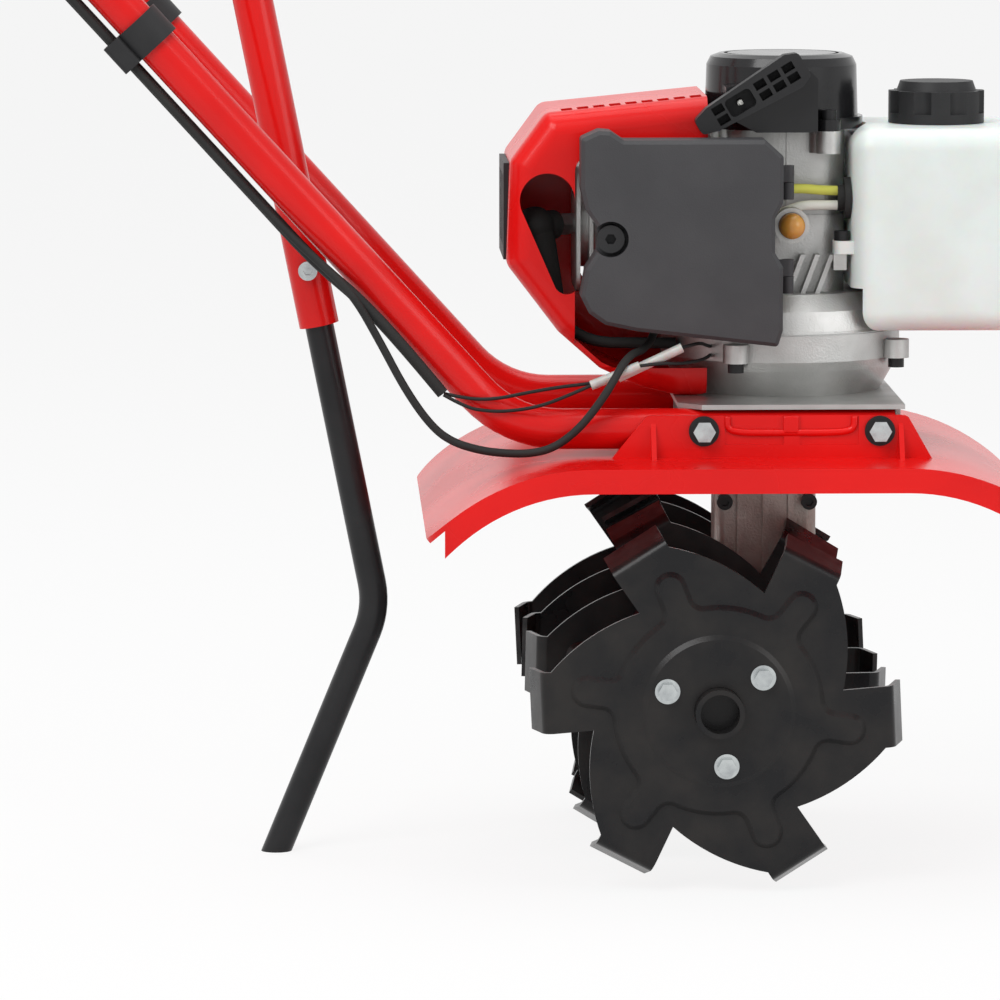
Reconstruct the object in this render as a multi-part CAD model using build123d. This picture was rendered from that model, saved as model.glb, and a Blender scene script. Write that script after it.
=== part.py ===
"""Petrol garden tiller with four tine discs on a worm gearbox, a two-stroke engine and a drag stake.

Millimetres. X points forward, Y to the left, Z up. Heights called "rise" are above the tine axle,
and the axle stands as high as the lowest tine tip needs to reach the ground.
"""
import math
import os

from build123d import *

# Tine discs
TEETH = 6
TINE_T = 3.0
NOTCH_R = 77.0
NOTCH_ANGLE = 9.0
HEEL_R = 101.5
HEEL_ANGLE = 8.0
TOE_R = 105.0
TOE_ANGLE = 13.0
LEAD_BULGE = 5.0
FLAP_LENGTH = 21.0
FLAP_BEND = 74.0
BEND_R = 4.0
STAR_R = 65.0
STAR_RIB_R = 91.0
STAR_RIB_W = 20.0
STAR_ANGLE = -8.5
STAR_H = 3.2
STAR_FILLET = 7.0
DISH_R = 47.0
DISH_H = 2.0
PRESS_SLOPE = 3.0
OUTER_DISC_Y = 156.0
INNER_DISC_Y = 53.0
INNER_DISC_TURN = 4.0

# Tine hubs and axle
HUB_R = 15.0
HUB_END_Y = 174.0
HUB_START_Y = 38.0
HUB_SOCKET_R = 12.0
HUB_SOCKET_DEPTH = 17.0
HUB_FLANGE_R = 41.0
HUB_FLANGE_T = 5.0
TINE_BOLT_PCD = 68.0
TINE_BOLT_ANGLES = (158.0, 38.0, -82.0)
TINE_BOLT_R = 3.0
TINE_BOLT_AF = 10.0
TINE_BOLT_FLANGE_R = 7.7
AXLE_R = 10.0
RUN_FIT = 0.03
SLIDE_FIT = 0.3
HOLE_FIT = 0.2
HUB_PIN_R = 3.0
HUB_PIN_Y = 90.0

# Worm gear
CRANK_X = 48.0
WHEEL_TEETH = 30
WHEEL_PITCH_R = 36.0
WHEEL_ADDENDUM = 2.0
WHEEL_DEDENDUM = 2.8
WHEEL_W = 14.0
TOOTH_T = 3.0
FLANK_SLOPE = 0.27
WORM_TURNS = 5.0
WORM_SHAFT_R = 8.0
GEAR_CLEAR = 3.0

# Gearbox casting
CASE_WALL = 5.0
CASE_HALF_W = 21.0
BOSS_R = 25.0
BOSS_END_Y = 36.5
COLUMN_REAR_X = 6.0
COLUMN_FRONT_X = 70.0
COLUMN_FLANGE_T = 6.0
COLUMN_FLANGE_OUT = 16.0
CASE_RIB = 2.0
BEARING_R = 17.5
BEARING_W = 11.0
WORM_BEARING_R = 16.0
WORM_BEARING_GAP = 4.0
GEARBOX_SCREW_R = 3.0

# Base plate and handle tubes
TUBE_R = 12.5
TUBE_WALL = 1.8
TUBE_Y = 100.0
TUBE_RISE = 166.5
TUBE_FRONT_X = 111.0
TUBE_BEND_X = -125.0
TUBE_BEND_R = 70.0
TUBE_SLOPE = 47.6
SPLAY_START_X = -430.0
GRIP_BEND_X = -620.0
GRIP_BEND_Y = 185.0
GRIP_SLOPE = 14.0
GRIP_REACH = 200.0
GRIP_END_Y = 215.0
SPLAY_BEND_R = 160.0
GRIP_BEND_R = 95.0
GRIP_WALL = 4.0
GRIP_LENGTH = 118.0
PLATE_T = 3.0
PLATE_REAR_X = -22.0
PLATE_FRONT_X = 117.0
PLATE_HALF_W = 110.0
PLATE_FLANGE = 26.0
PLATE_CORNER = 14.0
HANDLE_BOLT_X = (-7.0, 101.0)
HANDLE_BOLT_R = 4.0
HANDLE_BOLT_AF = 12.0
WASHER_R = 9.3
WASHER_T = 2.0

# Fender
FENDER_HALF_W = 175.0
FENDER_T = 3.0
FENDER_LIP = 15.0
FENDER_FLAT_REAR_X = -77.0
FENDER_FLAT_FRONT_X = 114.0
FENDER_END_R = 138.0
FENDER_END_ANGLE = 47.0
FENDER_CORNER_R = 22.0
FENDER_RISE = 150.0
WALL_T = 3.0
WALL_H = 26.0
WALL_RAMP = 22.0
WALL_REAR_X = -42.0
WALL_FRONT_X = 118.0
POCKET_RECESS = 1.2

# Centre tube with stake socket, carry arch and cross brace
CENTER_FOOT_X = -242.0
CENTER_FOOT_RISE = 221.5
CENTER_LEAN = 11.3
CENTER_STRAIGHT = 235.0
CENTER_ARCH_R = 120.0
CENTER_ARCH_RUN = 150.0
CARRY_GRIP_LENGTH = 105.0
BRACE_T = 4.0
BRACE_W = 62.0
STAKE_R = 9.0
STAKE_UP = 140.0
STAKE_KNEE_DROP = 183.0
STAKE_FOOT_RUN = 69.0
STAKE_KNEE_R = 55.0
STAKE_BOLT_UP = 36.0
STAKE_BOLT_R = 4.0
STAKE_BOLT_HEAD_R = 6.0

# Engine castings, heights above the base plate
FAN_R = 75.0
FAN_FOOT_R = 63.0
FAN_TAPER_H = 16.0
FAN_SPLIT_H = 39.0
FAN_H = 63.0
FAN_WALL = 5.0
FAN_LUG_ANGLES = (-114, -30, 32, 148)
FAN_LUG_OUT = 5.5
CASE_HALF = 38.0
CASE_TOP_H = 164.0
CASE_SPLIT_H = 111.0
CASE_CORNER_R = 16.0
SPLIT_GROOVE = 1.0
CASE_FIN_PITCH = 9.0
CASE_FIN_LEAN = 9.0
CASE_FIN_H = 24.0
CASE_FIN_OUT = 12.0
STARTER_R = 48.0
STARTER_TOP_H = 210.0
STARTER_FLANGE_T = 7.0
STARTER_LUG_R = 55.0
SCREW_R = 2.5
SCREW_HEAD_R = 5.0
SCREW_HEAD_H = 6.0
CRANK_R = 8.0
DRUM_R = 38.0
DRUM_H = 22.0
DRUM_WALL = 3.0
DRUM_LIFT = 5.0
FLYWHEEL_R = 62.0
FLYWHEEL_H = 20.0
FAN_BLADES = 14
PULLEY_R = 30.0
PULLEY_T = 10.0
GUIDE_OUT = 17.0
ROPE_R = 1.9
KNOT_R = 4.5
PULL_T = 16.0
PULL_SEAT = 5.0
PULL_KNOT = 8.0
PULL_TILT = 31.0

# Cylinder, cowl, plug and muffler, heights above the base plate
CYL_AXIS_H = 105.0
CYL_FRONT_X = 5.0
CYL_REAR_X = -82.0
CYL_FIN_HALF = 42.0
CYL_BARREL_R = 29.0
FIN_PITCH = 8.0
FIN_T = 2.4
COWL_HALF_W = 64.0
COWL_T = 2.5
COWL_REAR_X = -126.0
COWL_FRONT_X = -2.0
COWL_TOP_H = 186.0
LOUVRES = 9
MUFFLER_REAR_X = -70.0
MUFFLER_W = 44.0
MUFFLER_L = 92.0
MUFFLER_H = 80.0
MUFFLER_RIM = 3.0
PLUG_TILT = 38.0
PLUG_SEAT = 8.0
PLUG_AF = 13.0
PLUG_TOP_R = 5.0
PLUG_L = 18.0

# Air filter
FILTER_COVER_Y = 106.0
FILTER_BACK_Y = 78.0
FILTER_REAR_X = -82.0
FILTER_FRONT_X = 42.0
FILTER_TOP_H = 168.0
FILTER_FOOT_H = 35.0
FILTER_WALL = 2.5
CASE_BACK_T = 3.0
CARB_HALF = 19.0
PRIMER_R = 8.0
PRIMER_TRAVEL = 4.0
KNOB_R = 8.5
KNOB_SHANK_R = 3.0
KNOB_SEAT = 12.0

# Fuel tank, heights above the base plate
TANK_REAR_X = 88.0
TANK_FRONT_X = 203.0
TANK_HALF_W = 66.0
TANK_FOOT_H = 40.0
TANK_TOP_H = 166.0
TANK_ROUND = 13.0
TANK_WALL = 2.5
NECK_R = 22.0
NECK_H = 12.0
CAP_R = 30.0
CAP_H = 26.0
CAP_FLUTES = 8
HOSE_R = 3.0

# Cowl openings, plug and intake places, measured from the base plate
COWL_EDGE_R = 14.0
INTAKE_CUT_X = (-84.0, 10.0)
INTAKE_CUT_H = (18.0, 150.0)
LOUVRE_PITCH = 10.0
VENT_HALF = 42.0
VENT_H = (84.0, 144.0)
INSULATOR_T = 6.0
CARB_X = -20.0
PRIMER_X = 49.5
HINGE_R = 3.6
HINGE_PIN_R = 1.5
HINGE_H = ((66.0, 87.0), (124.0, 145.0))
TANK_CORNER_R = 14.0
EAR_Y = 50.0
EAR_H = 88.0
EAR_T = 8.0
EAR_OUT = 11.0
GROMMET_R = 13.0
GROMMET_Y = -44.0
GROMMET_H = 122.0
HOSE_STEP = 4.5

# Cables and controls on the right handle, clip places as straight run and distance along it
CLIP_PLACES = ((1, 329.3), (2, 150.0))
CABLE_DROP = 19.0
CABLE_SIDE = 4.5
THROTTLE_R = 2.5
CONDUIT_R = 3.7
WIRE_R = 1.1
SLEEVE_R = 3.0
LEAD_R = 3.5
HOUSING_L = 46.0
LEVER_DROP = 30.0
LEVER_PIN_Z = 26.0
LEVER_PIN_R = 2.0
LEVER_W = 11.0
SWITCH_W = 8.0
SWITCH_L = 12.0
SWITCH_TRAVEL = 6.0
CLIP_HALF = 10.0
CLIP_FIT = 0.1

# Cord routes as X, Y and rise above the axle
THROTTLE_ROUTE = [
    (-664.4, -196.3, 700.3), (-601.4, -181.6, 663.4), (-463.0, -119.7, 511.8), (-420.4, -104.5, 461.9),
    (-282.0, -104.5, 310.3), (-262.0, -111.0, 289.0), (-239.0, -117.0, 268.0), (-221.4, -119.0, 251.0),
    (-205.5, -119.0, 222.8), (-190.2, -119.0, 193.5), (-174.9, -119.0, 171.4), (-162.1, -119.0, 161.0),
    (-144.3, -119.0, 155.5), (-129.6, -119.0, 153.7), (-114.3, -119.0, 153.3), (-99.0, -119.0, 156.7),
    (-83.7, -119.0, 168.4), (-70.2, -119.0, 185.5), (-62.0, -117.0, 198.5), (-56.0, -110.0, 208.5),
    (-49.5, -98.5, 213.0), (-44.0, -89.0, 213.2), (-38.0, -77.0, 217.5), (-33.0, -68.0, 228.0),
    (-30.0, -64.5, 247.0), (-30.0, -64.5, 268.0),
]
CONDUIT_ROUTE = [
    (-665.8, -187.4, 700.3), (-605.1, -173.4, 663.4), (-466.7, -111.5, 511.8), (-420.4, -95.5, 461.9),
    (-282.0, -95.5, 310.3), (-250.0, -102.0, 275.5), (-233.0, -108.0, 260.5), (-219.5, -113.0, 249.5),
    (-193.7, -113.0, 222.5), (-167.0, -113.0, 190.0),
]
SLEEVES = [
    ((-76.0, -108.0, 194.0), (-46.0, -108.0, 206.0)),
    ((-59.0, -101.0, 198.0), (-19.6, -101.0, 216.5)),
]
WIRE_ROUTES = [
    [(-166.5, -114.6, 189.4), (-153.0, -115.0, 181.5), (-139.3, -115.0, 179.2), (-126.5, -115.0, 179.1),
     (-109.3, -114.0, 181.5), (-94.0, -111.0, 186.4), (-76.0, -108.0, 194.0)],
    [(-166.2, -111.6, 189.8), (-155.0, -112.8, 187.4), (-144.2, -114.5, 186.4), (-132.6, -115.0, 187.0),
     (-114.2, -113.0, 190.5), (-94.0, -109.0, 193.5), (-74.0, -103.5, 195.0), (-59.0, -101.0, 198.0)],
    [(-46.0, -108.0, 206.0), (-34.0, -106.0, 207.5), (-20.0, -97.0, 206.0), (-8.0, -82.0, 206.5),
     (-2.0, -68.0, 207.0), (0.2, -58.2, 207.5)],
    [(-19.6, -101.0, 216.5), (-11.0, -92.0, 218.0), (-6.0, -80.0, 217.0), (-2.5, -68.0, 214.5),
     (0.2, -58.2, 213.0)],
]
FUEL_ROUTE = [
    (85.0, -44.0, 308.5), (73.0, -44.0, 308.5), (57.0, -49.0, 310.5), (40.0, -56.0, 310.0),
    (25.0, -62.0, 304.0), (12.0, -64.0, 300.0), (-1.0, -64.0, 300.0),
]
RETURN_ROUTE = [
    (85.0, -44.0, 299.5), (73.0, -44.0, 299.5), (57.0, -49.0, 300.0), (42.0, -53.0, 294.5),
    (29.0, -56.0, 285.5), (14.0, -57.5, 276.0), (-1.0, -57.5, 276.0),
]
LEAD_ROUTE = [
    (-94.4, -32.3, 239.6), (-90.9, -32.8, 227.2), (-81.5, -33.5, 218.5), (-68.0, -35.0, 213.5),
    (-50.0, -36.0, 213.0), (-19.8, -36.0, 213.0),
]


def polar(radius, angle):
    """Point of the side view at a radius and an angle in degrees."""
    return radius * math.cos(math.radians(angle)), radius * math.sin(math.radians(angle))


def slab(sketch, y_near, y_far):
    """Carries a side-view sketch, drawn in X and Z, through from y_near to y_far."""
    return extrude(Plane.XZ.offset(-y_far) * sketch, y_far - y_near)


def rod_y(radius, y_near, y_far, x=0.0, z=0.0):
    """Round bar along Y."""
    return Pos(x, (y_near + y_far) / 2, z) * Rot(90, 0, 0) * Cylinder(radius, y_far - y_near)


def rod_z(radius, z_low, z_high, x=0.0, y=0.0):
    """Round bar along Z."""
    return Pos(x, y, (z_low + z_high) / 2) * Cylinder(radius, z_high - z_low)


def block(x0, x1, y0, y1, z0, z1):
    """Box between two corners."""
    return Pos((x0 + x1) / 2, (y0 + y1) / 2, (z0 + z1) / 2) * Box(x1 - x0, y1 - y0, z1 - z0)


def hexagon(across_flats):
    """Hexagon with the given width across flats."""
    return RegularPolygon(across_flats / math.sqrt(3), 6)


def swept(points, radii, radius, bore=0.0):
    """Round bar or tube along straight runs joined by tangent arcs."""
    path = FilletPolyline(*points, radius=radii)
    section = Circle(radius)
    if bore:
        section -= Circle(bore)
    return sweep(Plane(origin=path @ 0, z_dir=path % 0) * section, path=path)


def mirrored(shape):
    """The same piece on the other side of the machine."""
    return mirror(shape, about=Plane.XZ)


def tine_outline():
    """Saw-toothed outline of a tine disc up to the fold line of each tip."""
    pitch = 360 / TEETH
    edges = []
    for k in range(TEETH):
        at = -pitch * k
        notch = polar(NOTCH_R, at + NOTCH_ANGLE)
        heel = polar(HEEL_R, at + HEEL_ANGLE)
        toe = polar(TOE_R, at - TOE_ANGLE)
        far_notch = polar(NOTCH_R, at - pitch + NOTCH_ANGLE)
        middle = Vector(toe[0] + far_notch[0], toe[1] + far_notch[1]) / 2
        bulge = middle + middle.normalized() * LEAD_BULGE
        edges += [Line(notch, heel), Line(heel, toe)]
        edges += [ThreePointArc(toe, (bulge.X, bulge.Y), far_notch)]
    return make_face(edges)


def tine_flap():
    """Bent tip of the tooth at angle zero, with its outer face at Y zero."""
    heel = Vector(*polar(HEEL_R, HEEL_ANGLE))
    toe = Vector(*polar(TOE_R, -TOE_ANGLE))
    along = (heel - toe).normalized()
    out = Vector(along.Y, -along.X)
    middle = (heel + toe) / 2
    bend = math.radians(FLAP_BEND)
    run = Vector(math.cos(bend), math.sin(bend))
    center = Vector(0, TINE_T + BEND_R)

    def on_arc(radius, share):
        turn = bend * share
        return center + Vector(math.sin(turn), -math.cos(turn)) * radius

    outer = BEND_R + TINE_T
    tip_out = on_arc(outer, 1) + run * FLAP_LENGTH
    tip_in = on_arc(BEND_R, 1) + run * FLAP_LENGTH
    profile = make_face([
        ThreePointArc(on_arc(outer, 0), on_arc(outer, 0.5), on_arc(outer, 1)),
        Line(on_arc(outer, 1), tip_out),
        Line(tip_out, tip_in),
        Line(tip_in, on_arc(BEND_R, 1)),
        ThreePointArc(on_arc(BEND_R, 1), on_arc(BEND_R, 0.5), on_arc(BEND_R, 0)),
        Line(on_arc(BEND_R, 0), on_arc(outer, 0)),
    ])
    plane = Plane(
        origin=(middle.X, 0, middle.Y),
        x_dir=(out.X, 0, out.Y),
        z_dir=(along.X, 0, along.Y),
    )
    if plane.y_dir.Y < 0:
        plane = Plane(origin=plane.origin, x_dir=plane.x_dir, z_dir=-plane.z_dir)
    return extrude(plane * profile, (heel - toe).length / 2, both=True)


def pressed(face, height):
    """Drafted pressing that rises from Y zero towards the outside."""
    top = offset(face, -PRESS_SLOPE)
    return loft([Plane.XZ * face, Plane.XZ.offset(height) * top], ruled=True)


def star_face(shrink=0.0):
    """Round shoulder with radial ribs, the outline of the pressing in a disc."""
    ribs = [
        Rot(0, 0, STAR_ANGLE + 60 * k) * SlotOverall(2 * (STAR_RIB_R - shrink), STAR_RIB_W - 2 * shrink)
        for k in range(3)
    ]
    star = Circle(STAR_R - shrink) + ribs
    corners = [v for v in star.vertices() if abs(math.hypot(v.X, v.Y) - STAR_R + shrink) < 0.5]
    return fillet(corners, STAR_FILLET + shrink)


def tine_disc(turn):
    """Pressed disc with its rim's outer face at Y zero and its tips bent to +Y, turned on its bolts."""
    disc = slab(tine_outline(), 0, TINE_T)
    flap = tine_flap()
    for k in range(TEETH):
        disc += Rot(0, 60 * k, 0) * flap
    disc += pressed(star_face(), STAR_H)
    disc += Pos(0, -STAR_H, 0) * pressed(Circle(DISH_R), DISH_H)
    disc -= Pos(0, TINE_T, 0) * pressed(star_face(1.2), STAR_H)
    disc -= Pos(0, TINE_T - STAR_H, 0) * pressed(Circle(DISH_R - 1.2), DISH_H)
    disc = Rot(0, turn, 0) * disc
    holes = rod_y(HUB_R + HOLE_FIT, -50, 50)
    for angle in TINE_BOLT_ANGLES:
        x, z = polar(TINE_BOLT_PCD / 2, angle)
        holes += rod_y(TINE_BOLT_R + HOLE_FIT, -50, 50, x, z)
    return disc - holes


def dish_face_y(disc_y):
    """Y of the outer face of the middle of a right-hand disc."""
    return -disc_y - TINE_T / 2 - STAR_H - DISH_H


def tine_hub(axle):
    """Right-hand hub tube with a bolting flange behind each disc and a socket at its outer end."""
    hub = rod_y(HUB_R, -HUB_END_Y, -HUB_START_Y)
    for disc_y in (OUTER_DISC_Y, INNER_DISC_Y):
        seat = dish_face_y(disc_y) + TINE_T
        hub += rod_y(HUB_FLANGE_R, seat, seat + HUB_FLANGE_T)
        for angle in TINE_BOLT_ANGLES:
            x, z = polar(TINE_BOLT_PCD / 2, angle)
            hub -= rod_y(TINE_BOLT_R + HOLE_FIT, seat - 1, seat + HUB_FLANGE_T + 1, x, z)
    hub -= rod_y(AXLE_R + RUN_FIT, -HUB_END_Y, -HUB_START_Y)
    hub -= rod_y(HUB_SOCKET_R, -HUB_END_Y, -HUB_END_Y + HUB_SOCKET_DEPTH)
    hub -= Pos(0, -HUB_PIN_Y, 0) * Cylinder(HUB_PIN_R + RUN_FIT, 4 * HUB_R)
    return Pos(0, 0, axle) * hub


def fastener(shank_r, grip, across_flats, head_h, flange_r=0.0, flange_t=1.6):
    """Hex bolt along Z with its head below zero and a nut past the grip length."""
    bolt = extrude(hexagon(across_flats), -head_h)
    if flange_r:
        bolt = Pos(0, 0, -flange_t) * bolt + extrude(Circle(flange_r), -flange_t)
    bolt += extrude(Circle(shank_r), grip + head_h)
    return bolt + Pos(0, 0, grip) * extrude(hexagon(across_flats), head_h * 0.8)


def tine_bolts(axle):
    """Flange bolts that hold the right-hand discs to their hub."""
    grip = TINE_T + HUB_FLANGE_T
    bolt = fastener(TINE_BOLT_R, grip, TINE_BOLT_AF, 4.5, TINE_BOLT_FLANGE_R)
    bolts = []
    for disc_y in (OUTER_DISC_Y, INNER_DISC_Y):
        for angle in TINE_BOLT_ANGLES:
            x, z = polar(TINE_BOLT_PCD / 2, angle)
            bolts.append(Pos(x, dish_face_y(disc_y), axle + z) * Rot(-90, 0, 0) * bolt)
    return bolts


def worm_lead():
    """Travel of the worm thread in one turn."""
    return 2 * math.pi * WHEEL_PITCH_R / WHEEL_TEETH


def worm_wheel(axle):
    """Worm wheel with teeth that lean with the thread and a gap that faces the worm."""
    pitch = 360 / WHEEL_TEETH
    levels = (-WHEEL_DEDENDUM, WHEEL_ADDENDUM)
    points = []
    for k in range(WHEEL_TEETH):
        at = pitch * (k + 0.5)
        for side, level in ((-1, levels[0]), (-1, levels[1]), (1, levels[1]), (1, levels[0])):
            radius = WHEEL_PITCH_R + level
            half = TOOTH_T / 2 - level * FLANK_SLOPE
            points.append(polar(radius, at + side * math.degrees(half / radius)))
    lean = math.degrees(WHEEL_W * worm_lead() / (2 * math.pi * worm_pitch_r()) / WHEEL_PITCH_R)
    face = make_face(Polyline(*points, close=True))
    face = Pos(0, -WHEEL_W / 2, 0) * Rot(90, 0, 0) * Rot(0, 0, lean / 2) * face
    wheel = Solid.extrude_linear_with_rotation(
        face.face(), center=(0, -WHEEL_W / 2, 0), normal=(0, WHEEL_W, 0), angle=lean
    )
    wheel = Part(wheel.wrapped) - rod_y(AXLE_R + RUN_FIT, -WHEEL_W, WHEEL_W)
    return Pos(0, 0, axle) * wheel


def worm_pitch_r():
    """Pitch radius of the worm, what the wheel leaves of the distance between the axes."""
    return CRANK_X - WHEEL_PITCH_R


def worm_shaft(axle, drum_z):
    """Upright shaft with the worm thread cut in it, up to the clutch drum."""
    lead = worm_lead()
    root = worm_pitch_r() - WHEEL_DEDENDUM + 0.4
    tip = worm_pitch_r() + WHEEL_ADDENDUM
    tip_half = 180 * (TOOTH_T / 2 - WHEEL_ADDENDUM * FLANK_SLOPE) / lead
    root_half = 180 * (TOOTH_T / 2 + (WHEEL_DEDENDUM - 0.4) * FLANK_SLOPE) / lead
    section = make_face([
        ThreePointArc(polar(tip, -tip_half), polar(tip, 0), polar(tip, tip_half)),
        Line(polar(tip, tip_half), polar(root, root_half)),
        ThreePointArc(polar(root, root_half), polar(root, 180), polar(root, -root_half)),
        Line(polar(root, -root_half), polar(tip, -tip_half)),
    ])
    length = WORM_TURNS * lead
    start = 180 - 360 * WORM_TURNS / 2
    thread = Solid.extrude_linear_with_rotation(
        (Pos(0, 0, -length / 2) * Rot(0, 0, start) * section).face(),
        center=(0, 0, -length / 2), normal=(0, 0, length), angle=360 * WORM_TURNS,
    )
    low = worm_bearing_seats(axle)[0][0] + 1
    shaft = Pos(CRANK_X, 0, axle) * Part(thread.wrapped)
    shaft += rod_z(WORM_SHAFT_R, low, axle - length / 2, CRANK_X)
    return shaft + rod_z(WORM_SHAFT_R, axle + length / 2, drum_z + 8, CRANK_X)


def clutch_drum(drum_z):
    """Open cup that the clutch shoes grip, on top of the worm shaft."""
    cup = rod_z(DRUM_R, drum_z, drum_z + DRUM_H, CRANK_X)
    cup -= rod_z(DRUM_R - DRUM_WALL, drum_z + DRUM_WALL, drum_z + DRUM_H, CRANK_X)
    cup += rod_z(WORM_SHAFT_R + 5, drum_z, drum_z + 8, CRANK_X)
    return cup - rod_z(WORM_SHAFT_R, drum_z, drum_z + 8, CRANK_X)


def worm_bearing_seats(axle):
    """Heights of the two worm bearings, as pairs of low and high."""
    half = WORM_TURNS * worm_lead() / 2
    top = axle + half + WORM_BEARING_GAP
    low = axle - half - WORM_BEARING_GAP - BEARING_W
    return (low, low + BEARING_W), (top, top + BEARING_W)


def gearbox(axle, plate_z):
    """Right and left halves of the gearbox casting with the hollows for wheel, worm and bearings."""
    wheel_hollow = WHEEL_PITCH_R + WHEEL_ADDENDUM + GEAR_CLEAR
    case_r = wheel_hollow + CASE_WALL
    seats = worm_bearing_seats(axle)
    foot = seats[0][0] - CASE_WALL
    column = block(COLUMN_REAR_X, COLUMN_FRONT_X, -CASE_HALF_W, CASE_HALF_W, foot, plate_z - 1)
    column = fillet(column.edges().filter_by(Axis.Z), 7)
    body = rod_y(case_r, -CASE_HALF_W, CASE_HALF_W, 0, axle) + column
    body += rod_y(BOSS_R, -BOSS_END_Y, BOSS_END_Y, 0, axle)
    flange_half = CASE_HALF_W + COLUMN_FLANGE_OUT
    flange = block(
        COLUMN_REAR_X - 6, COLUMN_FRONT_X + 10, -flange_half, flange_half, plate_z - COLUMN_FLANGE_T, plate_z
    )
    body += fillet(flange.edges().filter_by(Axis.Z), 10)
    for x in (COLUMN_REAR_X + 16, COLUMN_REAR_X + 32, COLUMN_REAR_X + 48):
        low = axle + case_r - 8
        rib = block(x - CASE_RIB, x + CASE_RIB, -CASE_HALF_W - CASE_RIB, CASE_HALF_W + CASE_RIB, low, plate_z - 3)
        body += rib
    body -= rod_y(wheel_hollow, -WHEEL_W / 2 - GEAR_CLEAR, WHEEL_W / 2 + GEAR_CLEAR, 0, axle)
    body -= rod_y(AXLE_R + 2, -BOSS_END_Y, BOSS_END_Y, 0, axle)
    for side in (-1, 1):
        seat = sorted((side * (BOSS_END_Y - BEARING_W - 6), side * BOSS_END_Y))
        body -= rod_y(BEARING_R, seat[0], seat[1], 0, axle)
    body -= rod_z(worm_pitch_r() + WHEEL_ADDENDUM + 1, seats[0][0], plate_z, CRANK_X)
    for low, high in seats:
        body -= rod_z(WORM_BEARING_R, low, high, CRANK_X)
    for x, z in gearbox_screw_places(axle):
        body -= rod_y(GEARBOX_SCREW_R + RUN_FIT, -60, 60, x, z)
    right = split(body, bisect_by=Plane.XZ, keep=Keep.TOP)
    left = split(body, bisect_by=Plane.XZ, keep=Keep.BOTTOM)
    return right, left


def gearbox_screw_places(axle):
    """Side-view places of the screws that close the gearbox halves."""
    case_r = WHEEL_PITCH_R + WHEEL_ADDENDUM + GEAR_CLEAR + CASE_WALL
    upper = axle + 111.5
    return [(COLUMN_REAR_X + 6, upper), (COLUMN_FRONT_X - 5, upper), (-case_r * 0.5, axle + case_r * 0.79),
            (-case_r * 0.5, axle - case_r * 0.79)]


def gearbox_screws(axle):
    """Socket screws through both gearbox halves."""
    screws = []
    for x, z in gearbox_screw_places(axle):
        head = extrude(Circle(SCREW_HEAD_R), -SCREW_HEAD_H) - extrude(hexagon(5), -3).moved(
            Location((0, 0, -SCREW_HEAD_H + 3)))
        screw = head + extrude(Circle(GEARBOX_SCREW_R), 2 * CASE_HALF_W)
        screws.append(Pos(x, -CASE_HALF_W, z) * Rot(-90, 0, 0) * screw)
    return screws


def ring_z(outer, inner, z_low, z_high, x):
    """Flat ring about an upright axis."""
    return rod_z(outer, z_low, z_high, x) - rod_z(inner, z_low, z_high, x)


def ring_y(outer, inner, y_near, y_far, z):
    """Flat ring about the axle."""
    return rod_y(outer, y_near, y_far, 0, z) - rod_y(inner, y_near, y_far, 0, z)


def handle_points(axle):
    """Corner points of the right handle tube from its front end to the grip."""
    low = axle + TUBE_RISE
    slope = math.tan(math.radians(TUBE_SLOPE))
    splay_z = low + (TUBE_BEND_X - SPLAY_START_X) * slope
    bend_z = low + (TUBE_BEND_X - GRIP_BEND_X) * slope
    end_z = bend_z + GRIP_REACH * math.tan(math.radians(GRIP_SLOPE))
    return [
        (TUBE_FRONT_X, -TUBE_Y, low),
        (TUBE_BEND_X, -TUBE_Y, low),
        (SPLAY_START_X, -TUBE_Y, splay_z),
        (GRIP_BEND_X, -GRIP_BEND_Y, bend_z),
        (GRIP_BEND_X - GRIP_REACH, -GRIP_END_Y, end_z),
    ]


def handle_tube(axle):
    """Right handle tube with the two bolt holes in its level front run."""
    radii = [TUBE_BEND_R, SPLAY_BEND_R, GRIP_BEND_R]
    tube = swept(handle_points(axle), radii, TUBE_R, TUBE_R - TUBE_WALL)
    for x in HANDLE_BOLT_X:
        tube -= rod_y(HANDLE_BOLT_R + HOLE_FIT, -TUBE_Y - 30, -TUBE_Y + 30, x, axle + TUBE_RISE)
    return tube


def handle_grip(axle):
    """Rubber grip on the right tube's end, with a flange and finger ribs."""
    points = handle_points(axle)
    end = Vector(*points[-1])
    along = (Vector(*points[-2]) - end).normalized()
    plane = Plane(origin=end - along * 3, z_dir=along)
    outer = TUBE_R + GRIP_WALL
    grip = extrude(Circle(outer), GRIP_LENGTH)
    grip += Pos(0, 0, GRIP_LENGTH - 5) * extrude(Circle(outer + 5), 5)
    for k in range(5):
        groove = Pos(0, 0, 18 + k * 18) * Torus(outer + 1.5, 3.2)
        grip -= groove
    grip = fillet(grip.edges().group_by(Axis.Z)[0], 3)
    grip -= Pos(0, 0, 3) * extrude(Circle(TUBE_R), GRIP_LENGTH)
    return plane * grip


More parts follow.
